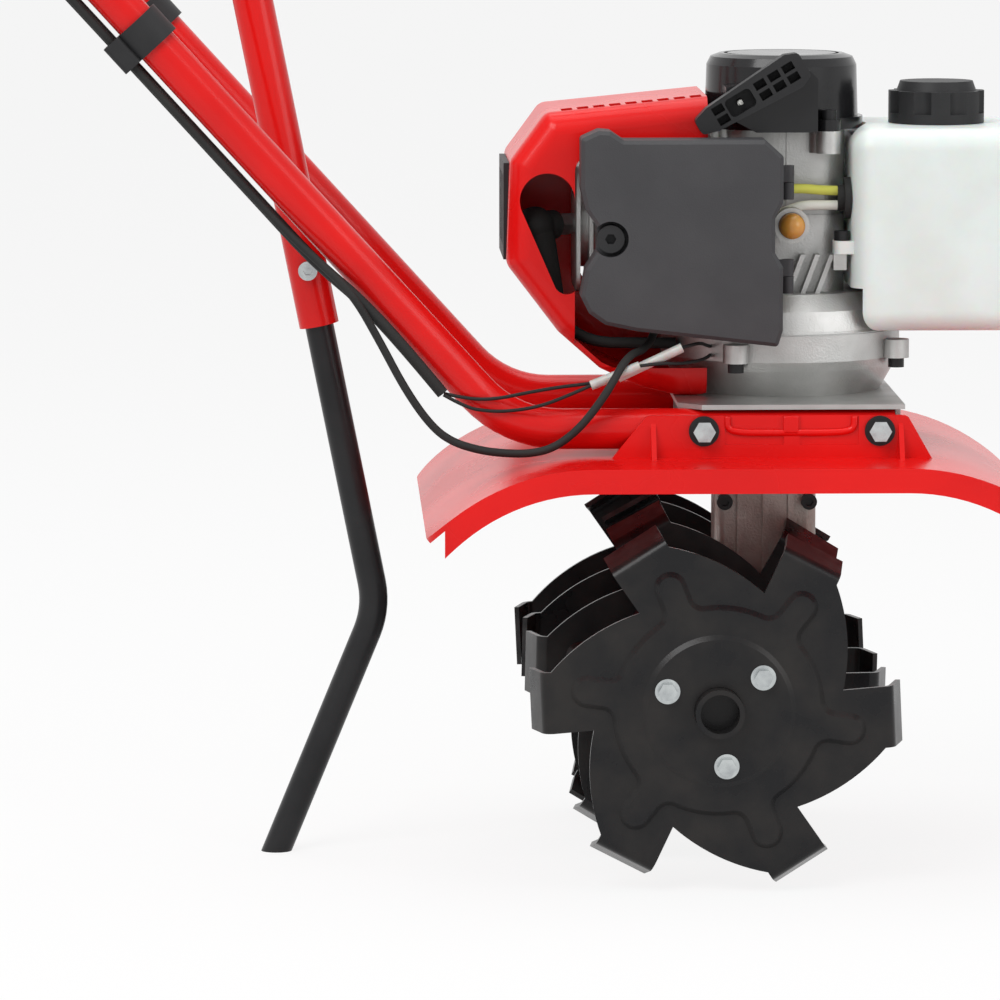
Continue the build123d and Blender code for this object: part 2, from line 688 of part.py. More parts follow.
def base_plate(axle, fan_foot):
    """Pressed steel plate on the tube tops with side flanges inside the tubes and a front flange."""
    top = axle + TUBE_RISE + TUBE_R + PLATE_T
    inner = TUBE_Y - TUBE_R
    plate = block(PLATE_REAR_X, PLATE_FRONT_X, -PLATE_HALF_W, PLATE_HALF_W, top - PLATE_T, top)
    plate = chamfer(plate.edges().filter_by(Axis.Z).group_by(Axis.X)[0], PLATE_CORNER)
    for side in (-1, 1):
        y = sorted((side * inner, side * (inner - PLATE_T)))
        plate += block(PLATE_REAR_X + 8, PLATE_FRONT_X - 8, y[0], y[1], top - PLATE_FLANGE, top)
        for x in HANDLE_BOLT_X:
            plate -= rod_y(HANDLE_BOLT_R + HOLE_FIT, y[0] - 1, y[1] + 1, x, axle + TUBE_RISE)
    front = PLATE_FRONT_X
    plate += block(front - PLATE_T, front, -PLATE_HALF_W + 30, PLATE_HALF_W - 30, top - PLATE_FLANGE * 0.5, top)
    return plate - rod_z(fan_foot - 14, top - PLATE_T, top, CRANK_X)


def fender_strip(depth):
    """Side-view band of the fender: level in the middle, arcs down at both ends."""
    rear, front = FENDER_FLAT_REAR_X, FENDER_FLAT_FRONT_X
    inner = FENDER_END_R - depth

    def on_arc(x, sign, radius, share):
        angle = math.radians(FENDER_END_ANGLE * share)
        return x + sign * radius * math.sin(angle), radius * math.cos(angle) - FENDER_END_R

    def arc(x, sign, radius):
        return ThreePointArc(*(on_arc(x, sign, radius, s) for s in (0, 0.5, 1)))

    edges = [Line((rear, 0), (front, 0)), arc(front, 1, FENDER_END_R), arc(front, 1, inner)]
    edges += [Line((rear, -depth), (front, -depth)), arc(rear, -1, FENDER_END_R), arc(rear, -1, inner)]
    for x, sign in ((rear, -1), (front, 1)):
        edges.append(Line(on_arc(x, sign, FENDER_END_R, 1), on_arc(x, sign, inner, 1)))
    return make_face(edges)


def fender(axle):
    """Moulded fender: deck, rolled side lips, pocket walls beside the handle tubes and a gearbox opening."""
    deck_z = axle + FENDER_RISE
    half = FENDER_HALF_W
    shell = slab(fender_strip(FENDER_T), -half, half)
    for side in (-1, 1):
        y = sorted((side * half, side * (half - FENDER_T)))
        shell += slab(fender_strip(FENDER_LIP), y[0], y[1])
    ends = FENDER_END_R * math.sin(math.radians(FENDER_END_ANGLE))
    plan = Pos((FENDER_FLAT_FRONT_X + FENDER_FLAT_REAR_X) / 2, 0, 0) * RectangleRounded(
        FENDER_FLAT_FRONT_X - FENDER_FLAT_REAR_X + 2 * ends, 2 * half, FENDER_CORNER_R)
    shell &= extrude(Pos(0, 0, -200) * plan, 400)
    wall = make_face(Polyline(
        (WALL_REAR_X - WALL_RAMP, -1), (WALL_REAR_X, WALL_H), (WALL_FRONT_X, WALL_H),
        (WALL_FRONT_X + WALL_RAMP * 0.7, -1), close=True))
    wall_y = TUBE_Y + TUBE_R
    pocket_mid = (HANDLE_BOLT_X[0] + HANDLE_BOLT_X[1]) / 2
    pocket_w = (HANDLE_BOLT_X[1] - HANDLE_BOLT_X[0] - 36) / 2
    for side in (-1, 1):
        y = sorted((side * wall_y, side * (wall_y + WALL_T)))
        piece = slab(fillet(wall.vertices().group_by(Axis.Y)[-1], 4), y[0], y[1])
        skin = sorted((side * (wall_y + WALL_T), side * (wall_y + WALL_T - POCKET_RECESS)))
        for turn in (-1, 1):
            x = pocket_mid + turn * (pocket_w / 2 + 5)
            piece -= block(x - pocket_w / 2, x + pocket_w / 2, skin[0], skin[1], 8, WALL_H + 1)
        for x in (WALL_REAR_X + 4, WALL_FRONT_X - 4):
            gusset = make_face(Polyline((0, -1), (14, -1), (0, WALL_H - 4), close=True))
            web = extrude(Plane((x - 1.5, 0, 0), x_dir=(0, side, 0), z_dir=(side, 0, 0)) * gusset, 3 * side)
            piece += Pos(0, side * (wall_y + WALL_T - 0.5), 0) * web
        shell += piece
        for x in HANDLE_BOLT_X:
            drop = TUBE_RISE - FENDER_RISE
            shell -= rod_y(HANDLE_BOLT_R + HOLE_FIT, y[0] - 1, y[1] + 1, x, drop)
    hole_half = CASE_HALF_W + COLUMN_FLANGE_OUT + 4
    opening = block(COLUMN_REAR_X - 14, COLUMN_FRONT_X + 18, -hole_half, hole_half, -20, 20)
    shell -= fillet(opening.edges().filter_by(Axis.Z), 12)
    return Pos(0, 0, deck_z) * shell


def handle_hardware(axle):
    """Bolts with nuts, and washers, on the right side."""
    bolts, washers = [], []
    wall_y = TUBE_Y + TUBE_R + WALL_T
    grip = WASHER_T + WALL_T + 2 * TUBE_R + PLATE_T
    for x in HANDLE_BOLT_X:
        place = Pos(x, -wall_y, axle + TUBE_RISE) * Rot(-90, 0, 0)
        washer = extrude(Circle(WASHER_R) - Circle(HANDLE_BOLT_R + HOLE_FIT), -WASHER_T)
        washers.append(place * washer)
        bolt = fastener(HANDLE_BOLT_R, grip, HANDLE_BOLT_AF, 5.5)
        bolts.append(place * Pos(0, 0, -WASHER_T) * bolt)
    return bolts, washers


def center_points(axle):
    """Corner points of the centre tube from its open foot to the front of the carry arch."""
    lean = math.radians(CENTER_LEAN)
    foot = Vector(CENTER_FOOT_X, 0, axle + CENTER_FOOT_RISE)
    up = Vector(-math.sin(lean), 0, math.cos(lean))
    knee = foot + up * (CENTER_STRAIGHT + CENTER_ARCH_R)
    return [foot, knee, knee + Vector(CENTER_ARCH_R + CENTER_ARCH_RUN, 0, 0)], up


def center_tube(axle):
    """Tube that takes the stake below and arches forward as a carry handle above."""
    points, up = center_points(axle)
    tube = swept(points, [CENTER_ARCH_R], TUBE_R, STAKE_R + SLIDE_FIT)
    bolt_at = points[0] + up * STAKE_BOLT_UP
    return tube - rod_y(STAKE_BOLT_R + HOLE_FIT, -30, 0, bolt_at.X, bolt_at.Z)


def carry_grip(axle):
    """Rubber sleeve on the front end of the carry arch."""
    points, _ = center_points(axle)
    end = points[-1]
    grip = extrude(Circle(TUBE_R + GRIP_WALL), CARRY_GRIP_LENGTH)
    grip = fillet(grip.edges(), 3)
    grip -= extrude(Circle(TUBE_R), CARRY_GRIP_LENGTH - 3)
    return Plane(origin=end - Vector(CARRY_GRIP_LENGTH - 3, 0, 0), z_dir=(1, 0, 0)) * grip


def cross_brace(axle):
    """Bent plate between the handle tubes that carries the centre tube."""
    slope = math.radians(TUBE_SLOPE)
    points, up = center_points(axle)
    along = Vector(-math.cos(slope), 0, math.sin(slope))
    base = Vector(TUBE_BEND_X, 0, axle + TUBE_RISE)
    reach = (points[0] - base).dot(along)
    foot = base + along * (reach + 40)
    plane = Plane(origin=foot, x_dir=(0, 1, 0), z_dir=Vector(math.sin(slope), 0, math.cos(slope)))
    span = 2 * (TUBE_Y - TUBE_R)
    plate = extrude(plane * RectangleRounded(span + 8, BRACE_W, 4), BRACE_T / 2, both=True)
    plate -= swept(points, [CENTER_ARCH_R], TUBE_R + HOLE_FIT)
    for piece in (handle_tube_core(axle), mirrored(handle_tube_core(axle))):
        plate -= piece
    return plate


def handle_tube_core(axle):
    """Solid bar a fit wider than the tube, to cut what is welded to it."""
    return swept(handle_points(axle), [TUBE_BEND_R, SPLAY_BEND_R, GRIP_BEND_R], TUBE_R + HOLE_FIT)


def stake(axle):
    """Drag stake: a bar in the centre tube that kinks back to a foot on the ground."""
    points, up = center_points(axle)
    top = points[0] + up * STAKE_UP
    knee = points[0] - up * STAKE_KNEE_DROP
    drop = knee.Z
    foot = Vector(knee.X - STAKE_FOOT_RUN, 0, -12)
    run = (knee - foot).normalized()
    foot = knee - run * (drop / run.Z + 12)
    bar = swept([top, knee, foot], [STAKE_KNEE_R], STAKE_R, STAKE_R - 2)
    return bar & block(-600, 0, -50, 50, 0, 900)


def stake_bolt(axle):
    """Clamp screw through the near wall of the socket."""
    points, up = center_points(axle)
    at = points[0] + up * STAKE_BOLT_UP
    reach = TUBE_R - STAKE_R - SLIDE_FIT
    screw = extrude(Circle(STAKE_BOLT_R), reach) + extrude(Circle(STAKE_BOLT_HEAD_R), -4.5)
    screw -= Pos(0, 0, -4.5) * extrude(hexagon(5), 2.5)
    return Pos(at.X, -TUBE_R, at.Z) * Rot(-90, 0, 0) * screw


def fan_housing(plate_z):
    """Round clutch and fan housing, turned, with screw lugs and a split groove."""
    wall, r = FAN_WALL, FAN_R
    outer = make_face(Polyline(
        (0, 0), (FAN_FOOT_R, 0), (r - 3, FAN_TAPER_H), (r, FAN_TAPER_H + 6), (r, FAN_SPLIT_H),
        (r - 1, FAN_SPLIT_H + 2), (r - 4, FAN_H - 10), (r - 14, FAN_H), (0, FAN_H), close=True))
    inner = make_face(Polyline(
        (0, 0), (FAN_FOOT_R - 14, 0), (FAN_FOOT_R - 14, 5), (FAN_FOOT_R - 5, 6), (r - wall, FAN_TAPER_H + 5),
        (r - wall, FAN_SPLIT_H), (r - wall - 6, FAN_H - wall), (0, FAN_H - wall), close=True))
    bowl = revolve(Plane.XZ * outer, Axis.Z)
    for angle in FAN_LUG_ANGLES:
        x, y = polar(r + FAN_LUG_OUT, angle)
        bowl += rod_z(8, FAN_TAPER_H + 6, FILTER_FOOT_H - 1.5, x, y)
    bowl -= revolve(Plane.XZ * inner, Axis.Z)
    groove = ring_z(r + 2, r - SPLIT_GROOVE, FAN_SPLIT_H - 0.5, FAN_SPLIT_H + 0.5, 0)
    bowl -= groove
    bowl -= rod_z(CRANK_R + RUN_FIT, FAN_H - wall, FAN_H, 0)
    return Pos(CRANK_X, 0, plate_z) * bowl


def fan_screws(plate_z):
    """Socket screws that hang under the housing lugs."""
    screws = []
    for angle in FAN_LUG_ANGLES:
        x, y = polar(FAN_R + FAN_LUG_OUT, angle)
        top = plate_z + FAN_TAPER_H + 6
        screws.append(socket_screw(CRANK_X + x, y, top, -1))
    return screws


def socket_screw(x, y, z, side):
    """Socket-head cap screw whose head stands on the face at z, upward for side 1."""
    head = extrude(Circle(SCREW_HEAD_R), SCREW_HEAD_H)
    head -= Pos(0, 0, SCREW_HEAD_H - 3) * extrude(hexagon(5), 3)
    if side < 0:
        head = mirror(head, about=Plane.XY)
    return Pos(x, y, z) * head


def crankcase(plate_z):
    """Upright casting between fan housing and starter, with ribs, a split groove and top lugs."""
    low, high = plate_z + FAN_H, plate_z + CASE_TOP_H
    column = extrude(RectangleRounded(2 * CASE_HALF, 2 * CASE_HALF, CASE_CORNER_R), high - low)
    column = Pos(CRANK_X, 0, low) * column
    split_z = plate_z + CASE_SPLIT_H
    ring = RectangleRounded(2 * CASE_HALF + 4, 2 * CASE_HALF + 4, CASE_CORNER_R) - RectangleRounded(
        2 * CASE_HALF - 2 * SPLIT_GROOVE, 2 * CASE_HALF - 2 * SPLIT_GROOVE, CASE_CORNER_R - 1)
    column -= Pos(CRANK_X, 0, split_z) * extrude(ring, 1.2)
    column -= block(CRANK_X - 0.6, CRANK_X + 0.6, -CASE_HALF - 2, -CASE_HALF + 1, split_z, high)
    for k in range(3):
        x = CRANK_X + k * CASE_FIN_PITCH
        fin = make_face(Polyline(
            (x, low), (x + 3, low), (x + 3 + CASE_FIN_LEAN, low + CASE_FIN_H), (x + CASE_FIN_LEAN, low + CASE_FIN_H),
            close=True))
        column += slab(fin, -CASE_HALF - CASE_FIN_OUT, -CASE_HALF + 1)
    for side in (-1, 1):
        reach = sorted((side * (CASE_HALF - 6), side * (EAR_Y + 6)))
        column += block(
            TANK_REAR_X - EAR_OUT, TANK_REAR_X - 3, reach[0], reach[1], plate_z + EAR_H - 10, plate_z + EAR_H)
    for angle in starter_lug_angles():
        x, y = polar(STARTER_LUG_R, angle)
        column += rod_z(7.5, high - 14, high, CRANK_X + x, y)
        bx, by = polar(STARTER_LUG_R - 8, angle)
        column += rod_z(7.5, high - 14, high, CRANK_X + bx, by)
    column -= rod_z(CRANK_R + RUN_FIT, low, high, CRANK_X)
    return column


def starter_lug_angles():
    """Directions of the starter's four lugs, seen from above."""
    return -62, -148, 148, 62


def starter_cover(plate_z):
    """Turned starter dome with a ring groove on top, a rope guide and four lugs."""
    low, high = CASE_TOP_H, STARTER_TOP_H
    outer = make_face(Polyline(
        (0, low), (STARTER_R + 3, low), (STARTER_R + 3, low + STARTER_FLANGE_T), (STARTER_R, low + STARTER_FLANGE_T),
        (STARTER_R - 1, high - 7), (STARTER_R - 3.5, high - 2), (STARTER_R - 9, high), (36, high), (36, high - 1.2),
        (34, high - 1.2), (34, high), (0, high), close=True))
    inner = make_face(Polyline(
        (0, low), (STARTER_R - 4, low), (STARTER_R - 5, high - 8), (STARTER_R - 9, high - 4), (0, high - 4), close=True))
    dome = revolve(Plane.XZ * outer, Axis.Z)
    guide = make_face(Polyline(
        (-20, low), (18, low), (18, high - 13), (13, high - 8), (-2, high - 8), (-24, low + 30), (-39, low + 28),
        (-39, low + 10), close=True))
    dome += slab(guide, -STARTER_R - GUIDE_OUT, -STARTER_R + 16)
    for angle in starter_lug_angles():
        x, y = polar(STARTER_LUG_R, angle)
        dome += rod_z(7.5, low, low + STARTER_FLANGE_T, x, y)
        bx, by = polar(STARTER_LUG_R - 8, angle)
        dome += rod_z(7.5, low, low + STARTER_FLANGE_T, bx, by)
    dome -= revolve(Plane.XZ * inner, Axis.Z)
    eye = rope_eye()
    dome -= rod_y(ROPE_R + 0.7, -STARTER_R - 20, 0, eye[0], eye[1])
    return Pos(CRANK_X, 0, plate_z) * dome


def rope_eye():
    """X from the crank axis and height of the rope's hole in the starter."""
    return -PULLEY_R - 1.0, CASE_TOP_H + 19.4


def starter_screws(plate_z):
    """Socket screws on the starter's lugs."""
    screws = []
    for angle in starter_lug_angles():
        x, y = polar(STARTER_LUG_R, angle)
        screws.append(socket_screw(CRANK_X + x, y, plate_z + CASE_TOP_H + STARTER_FLANGE_T, 1))
    return screws


def starter_handle(plate_z):
    """Pull handle: a tapered bar with open pockets on its near face, tilted across the starter."""
    bar = make_face(Polyline(
        (-38, -5), (-28, -8), (30, -11.5), (38, -8), (38, 8), (30, 11.5), (-28, 8), (-38, 5), close=True))
    bar = fillet(bar.vertices(), 3)
    grip = extrude(bar, PULL_T)
    grip = fillet(grip.edges().group_by(Axis.Z)[0], 2.5)
    for x in (-22, 8, 18, 28):
        for row in (-1, 1):
            grip -= Pos(x, row * 3.6, PULL_SEAT) * extrude(Rectangle(7.5, 5.2), PULL_T)
    grip -= Pos(-PULL_KNOT, 0, PULL_SEAT) * extrude(RectangleRounded(18, 12, 3), PULL_T)
    grip -= Pos(-PULL_KNOT, 0, -1) * extrude(Circle(ROPE_R + 0.3), PULL_T)
    eye = rope_eye()
    tilt = math.radians(PULL_TILT)
    place = Plane(
        origin=(CRANK_X + eye[0], pull_base_y(), plate_z + eye[1]),
        x_dir=(math.cos(tilt), 0, math.sin(tilt)),
        z_dir=(0, -1, 0),
    )
    return place * Pos(PULL_KNOT, 0, 0) * grip


def pull_base_y():
    """Y of the pull handle's back, just off the rope guide."""
    return -STARTER_R - GUIDE_OUT - SLIDE_FIT


def starter_rope(plate_z):
    """Rope from the pulley to the knot in the handle."""
    eye = rope_eye()
    x, z = CRANK_X + eye[0], plate_z + eye[1]
    knot_y = pull_base_y() - PULL_SEAT - KNOT_R - SLIDE_FIT
    return rod_y(ROPE_R, knot_y, 0, x, z) + Pos(x, knot_y, z) * Sphere(KNOT_R)


def engine_rotor(plate_z, drum_z):
    """Crank line: flywheel with fan blades, clutch shoes in the drum and the starter pulley."""
    fly_z = plate_z + FAN_SPLIT_H - 6
    disc = rod_z(FLYWHEEL_R, fly_z, fly_z + 6, CRANK_X)
    for k in range(FAN_BLADES):
        blade = block(FLYWHEEL_R - 20, FLYWHEEL_R, -1.2, 1.2, fly_z + 5, fly_z + FLYWHEEL_H - 4)
        disc += Pos(CRANK_X, 0, 0) * Rot(0, 0, 360 / FAN_BLADES * k) * blade
    disc += rod_z(16, fly_z - 2, fly_z + 12, CRANK_X)
    disc += rod_z(CRANK_R, fly_z, plate_z + CASE_TOP_H + 26, CRANK_X)
    shoes = ring_z(DRUM_R - DRUM_WALL - 1.5, 12, drum_z + 10, fly_z - 2, CRANK_X)
    shoes -= block(CRANK_X - 60, CRANK_X + 60, -2.5, 2.5, drum_z + 10, fly_z - 5)
    pulley_z = plate_z + rope_eye()[1] - PULLEY_T / 2
    pulley = ring_z(PULLEY_R, CRANK_R, pulley_z, pulley_z + PULLEY_T, CRANK_X)
    pulley -= Pos(CRANK_X, 0, pulley_z + PULLEY_T / 2) * Torus(PULLEY_R + 0.5, 3.2)
    return disc, shoes, pulley


def cylinder(plate_z):
    """Finned cylinder that lies rearward from the crankcase, with its head and ports."""
    axis_z = plate_z + CYL_AXIS_H
    barrel = Pos((CYL_FRONT_X + CYL_REAR_X) / 2 + 2, 0, axis_z) * Rot(0, 90, 0) * Cylinder(
        CYL_BARREL_R, CYL_FRONT_X - CYL_REAR_X + 4)
    count = int((CYL_FRONT_X - CYL_REAR_X) / FIN_PITCH)
    for k in range(count + 1):
        x = CYL_REAR_X + k * FIN_PITCH
        fin = extrude(RectangleRounded(2 * CYL_FIN_HALF, 2 * CYL_FIN_HALF, 12), FIN_T)
        barrel += Pos(x, 0, axis_z) * Rot(0, 90, 0) * fin
    port = block(-40, -6, -CYL_FIN_HALF - 6, 0, axis_z - 16, axis_z + 16)
    barrel += port + block(-48, -8, 0, CYL_FIN_HALF + 5, axis_z - 18, axis_z + 18)
    seat, out = plug_axis(plate_z)
    barrel += Plane(origin=seat - out * 8, z_dir=out) * extrude(Circle(PLUG_AF / 2), 8 + PLUG_SEAT)
    crank_side = block(CYL_FRONT_X - 4, CRANK_X - CASE_HALF, -30, 30, axis_z - 30, axis_z + 30)
    return barrel + crank_side


def cowl_outline(shrink=0.0):
    """Side view of the engine cowl, drawn from the base plate up."""
    rear, front, top = COWL_REAR_X + shrink, COWL_FRONT_X, COWL_TOP_H - shrink
    outline = make_face(Polyline(
        (front, shrink), (PLATE_REAR_X + 2, shrink), (-42, 5 + shrink), (-68, 17 + shrink), (-94, 40 + shrink), (rear, 82),
        (rear + 2, 146), (rear + 24, top - 10), (front, top), close=True))
    soft = [v for v in outline.vertices() if v.X < front - 1]
    return fillet(soft, 9)


def plug_opening():
    """Leaf-shaped opening in the cowl's near side, wide above and narrow below."""
    top = Pos(-101, 122) * Circle(17)
    tail = Pos(-89, 72) * Circle(8)
    return make_hull(top.edges() + tail.edges())


def engine_cowl(plate_z):
    """Moulded cowl over the cylinder: louvres on top, openings for plug cap, intake and muffler."""
    half = COWL_HALF_W
    shell = slab(cowl_outline(), -half, half)
    rims = [e for e in shell.edges() if abs(abs(e.center().Y) - half) < 0.01 and e.center().X < COWL_FRONT_X - 1]
    shell = fillet(rims, COWL_EDGE_R)
    inside = slab(cowl_outline(COWL_T), -half + COWL_T, half - COWL_T)
    rims = [
        e for e in inside.edges()
        if abs(abs(e.center().Y) - half + COWL_T) < 0.01 and e.center().X < COWL_FRONT_X - 1
    ]
    shell -= fillet(rims, COWL_EDGE_R - COWL_T)
    shell -= slab(plug_opening(), -half - 5, -30)
    intake = RectangleRounded(INTAKE_CUT_X[1] - INTAKE_CUT_X[0], INTAKE_CUT_H[1] - INTAKE_CUT_H[0], 10)
    place = Pos(sum(INTAKE_CUT_X) / 2, sum(INTAKE_CUT_H) / 2)
    shell -= slab(place * intake, -half - 5, -half + 8)
    room = 2 * (MUFFLER_RIM + 3)
    exhaust = Pos(MUFFLER_REAR_X + MUFFLER_L / 2, CYL_AXIS_H) * RectangleRounded(MUFFLER_L + room, MUFFLER_H + room, 12)
    shell -= slab(exhaust, half - 20, half + 5)
    shell -= rod_z(FAN_R + 1, -5, FAN_H + 1, CRANK_X)
    for k in range(LOUVRES):
        x = -92 + k * LOUVRE_PITCH
        shell -= block(x, x + LOUVRE_PITCH - 3, -half + 12, -half + 30, COWL_TOP_H - 30, COWL_TOP_H + 5)
    shell -= vent_block(HOLE_FIT)
    return Pos(0, 0, plate_z) * shell


def vent_block(grow=0.0):
    """Place of the black vent panel in the cowl's rear face."""
    low, high = VENT_H
    return block(
        COWL_REAR_X - 1.5, COWL_REAR_X + 7, -VENT_HALF - grow, VENT_HALF + grow, low - grow, high + grow)


def rear_vent(plate_z):
    """Slotted vent panel let into the cowl's rear face."""
    panel = vent_block()
    low, high = VENT_H
    panel -= block(COWL_REAR_X + 1.5, COWL_REAR_X + 8, -VENT_HALF + 3, VENT_HALF - 3, low + 3, high - 3)
    for k in range(6):
        y = -VENT_HALF + 9 + k * 13
        panel -= block(COWL_REAR_X - 5, COWL_REAR_X + 8, y, y + 6, low + 8, high - 8)
    return Pos(0, 0, plate_z) * panel


def plug_axis(plate_z):
    """Seat of the spark plug on the cylinder head and its direction."""
    tilt = math.radians(PLUG_TILT)
    seat = Vector(CYL_REAR_X + 0.5, -10, plate_z + CYL_AXIS_H - 1)
    return seat, Vector(-math.cos(tilt), -math.sin(tilt), 0)


def spark_plug(plate_z):
    """Spark plug with hexagon, insulator and terminal."""
    seat, out = plug_axis(plate_z)
    plug = extrude(hexagon(PLUG_AF), 7) + extrude(Circle(PLUG_TOP_R), PLUG_L)
    return Plane(origin=seat + out * PLUG_SEAT, z_dir=out) * plug


def plug_cap(plate_z):
    """Rubber plug cap: a round boot over the plug and a tail for the ignition lead."""
    seat, out = plug_axis(plate_z)
    boot = Plane(origin=seat + out * 17, z_dir=out) * extrude(Circle(9), 14)
    head = seat + out * 33
    boot += Pos(*head) * Sphere(12)
    tail_end = Vector(head.X + 13, head.Y - 2, head.Z - 46)
    tail = Plane(origin=head, z_dir=tail_end - head)
    boot += loft([tail * Circle(11.5), tail.offset((tail_end - head).length) * Circle(5.5)])
    socket = extrude(Circle(PLUG_TOP_R + RUN_FIT), PLUG_L + RUN_FIT)
    return boot - Plane(origin=seat + out * PLUG_SEAT, z_dir=out) * socket


def muffler(plate_z):
    """Pressed muffler box on the far side with a seam rim and an outlet."""
    low = CYL_FIN_HALF + 5
    mid = low + MUFFLER_W / 2
    far = low + MUFFLER_W
    place = Pos(MUFFLER_REAR_X + MUFFLER_L / 2, CYL_AXIS_H)
    box = slab(place * RectangleRounded(MUFFLER_L, MUFFLER_H, 16), low, far)
    box = fillet(box.edges().group_by(Axis.Y)[-1], 8)
    rim = RectangleRounded(MUFFLER_L + 2 * MUFFLER_RIM, MUFFLER_H + 2 * MUFFLER_RIM, 18)
    box += slab(place * rim, mid - 1, mid + 1)
    x, h = MUFFLER_REAR_X + MUFFLER_L - 22, CYL_AXIS_H - 20
    box += rod_y(7, far - 4, far + 12, x, h)
    box -= rod_y(5.5, far - 6, far + 14, x, h)
    return Pos(0, 0, plate_z) * box


def filter_outline(shrink=0.0):
    """Side view of the air filter cover, from the base plate up."""
    top, foot = FILTER_TOP_H, FILTER_FOOT_H
    rear, front = FILTER_REAR_X, FILTER_FRONT_X
    outline = make_face(Polyline(
        (rear, top - 5), (rear + 11, top), (rear + 18, top - 0.6), (rear + 26, top - 6), (front - 11, top - 6),
        (front, top - 16), (front, top - 44), (front - 5, top - 54), (front - 5, foot + 58), (front, foot + 49),
        (front, foot + 10), (front - 3, foot), (rear + 34, foot + 10), (rear + 15, foot + 14), (rear + 5, foot + 21),
        (rear, foot + 31), (rear + 3, foot + 48), (rear + 10, foot + 59), (rear + 10, foot + 74),
        (rear + 3, foot + 84), (rear, foot + 97), close=True))
    outline = fillet(outline.vertices(), 2.5)
    if shrink:
        outline = offset(outline, -shrink)
    return outline


def knob_place():
    """Side-view place of the cover's knob screw."""
    return FILTER_REAR_X + 18.2, FILTER_FOOT_H + 66.5


def filter_cover(plate_z):
    """Moulded filter cover, a shell with a sunk screw seat and two hinge knuckles at its front edge."""
    near, back = -FILTER_COVER_Y, -FILTER_BACK_Y - SLIDE_FIT
    shell = slab(filter_outline(), near, back)
    rim = [e for e in shell.edges() if abs(e.center().Y - near) < 0.01]
    shell = chamfer(rim, 2.4)
    shell -= slab(filter_outline(FILTER_WALL), near + FILTER_WALL, back)
    x, h = knob_place()
    shell += rod_y(KNOB_R + 4.5, near + 2.4, back - 4, x, h) & slab(filter_outline(), near, back)
    shell -= rod_y(KNOB_R + 2.5, near - 1, near + KNOB_SEAT, x, h)
    shell -= rod_y(KNOB_SHANK_R + RUN_FIT, near, back, x, h)
    for low, high in HINGE_H:
        hx, hy = hinge_axis()
        cut = rod_z(HINGE_R + 1.2, low - 1, high + 1, hx, hy)
        shell -= cut
        knuckle = rod_z(HINGE_R, (low + high) / 2 + SLIDE_FIT, high, hx, hy)
        knuckle += block(FILTER_FRONT_X - 2, hx, hy - HINGE_R, hy - HINGE_R + 3, (low + high) / 2 + SLIDE_FIT, high)
        shell += knuckle - rod_z(HINGE_PIN_R + RUN_FIT, low, high, hx, hy)
    return Pos(0, 0, plate_z) * shell


def hinge_axis():
    """X and Y of the filter cover's hinge."""
    return FILTER_FRONT_X + HINGE_R + 1, -FILTER_BACK_Y - 3


def filter_case(plate_z):
    """Back plate of the air filter with a locating rib, the screw post and the hinge lugs."""
    back = -FILTER_BACK_Y
    case = slab(filter_outline(0.4), back, back + CASE_BACK_T)
    ring = filter_outline(FILTER_WALL + 1.2) - filter_outline(FILTER_WALL + 3.2)
    case += slab(ring, back - 5, back)
    x, h = knob_place()
    case -= rod_y(KNOB_SHANK_R + 1, back - 10, back + 10, x, h)
    case -= rod_y(KNOB_R + 7.5, back - 6, back, x, h)
    case -= rod_y(13, back - 5, back + 10, CARB_X, CYL_AXIS_H)
    hx, hy = hinge_axis()
    for low, high in HINGE_H:
        case -= rod_z(HINGE_R + 1.2, low - 1, high + 1, hx, hy)
        mid = (low + high) / 2
        lug = rod_z(HINGE_R, low, mid, hx, hy) + rod_z(HINGE_PIN_R, low, high, hx, hy)
        lug += block(FILTER_FRONT_X - 8, hx, back, back + CASE_BACK_T, low, mid)
        lug += block(hx - HINGE_R, hx, hy, back + CASE_BACK_T, low, mid)
        case += lug
    return Pos(0, 0, plate_z) * case


def filter_element(plate_z):
    """Foam element on the back plate, inside the plate's locating rib."""
    y_near = -FILTER_COVER_Y + FILTER_WALL + 3
    foam = slab(filter_outline(FILTER_WALL + 4), y_near, -FILTER_BACK_Y)
    x, h = knob_place()
    foam -= rod_y(KNOB_R + 7.5, y_near - 1, -FILTER_BACK_Y, x, h)
    hx, hy = hinge_axis()
    return Pos(0, 0, plate_z) * (foam - block(hx - 14, hx + 10, -120, -60, 0, 300))


def cover_knob(plate_z):
    """Captive knob screw in the cover's sunk seat, just short of the back plate."""
    x, h = knob_place()
    shank = FILTER_COVER_Y - FILTER_BACK_Y - KNOB_SEAT
    knob = extrude(Circle(KNOB_R), -9) + extrude(Circle(KNOB_SHANK_R), shank)
    knob -= Pos(0, 0, -9) * extrude(hexagon(6), 5)
    return Pos(x, -FILTER_COVER_Y + KNOB_SEAT - SLIDE_FIT, plate_z + h) * Rot(-90, 0, 0) * knob


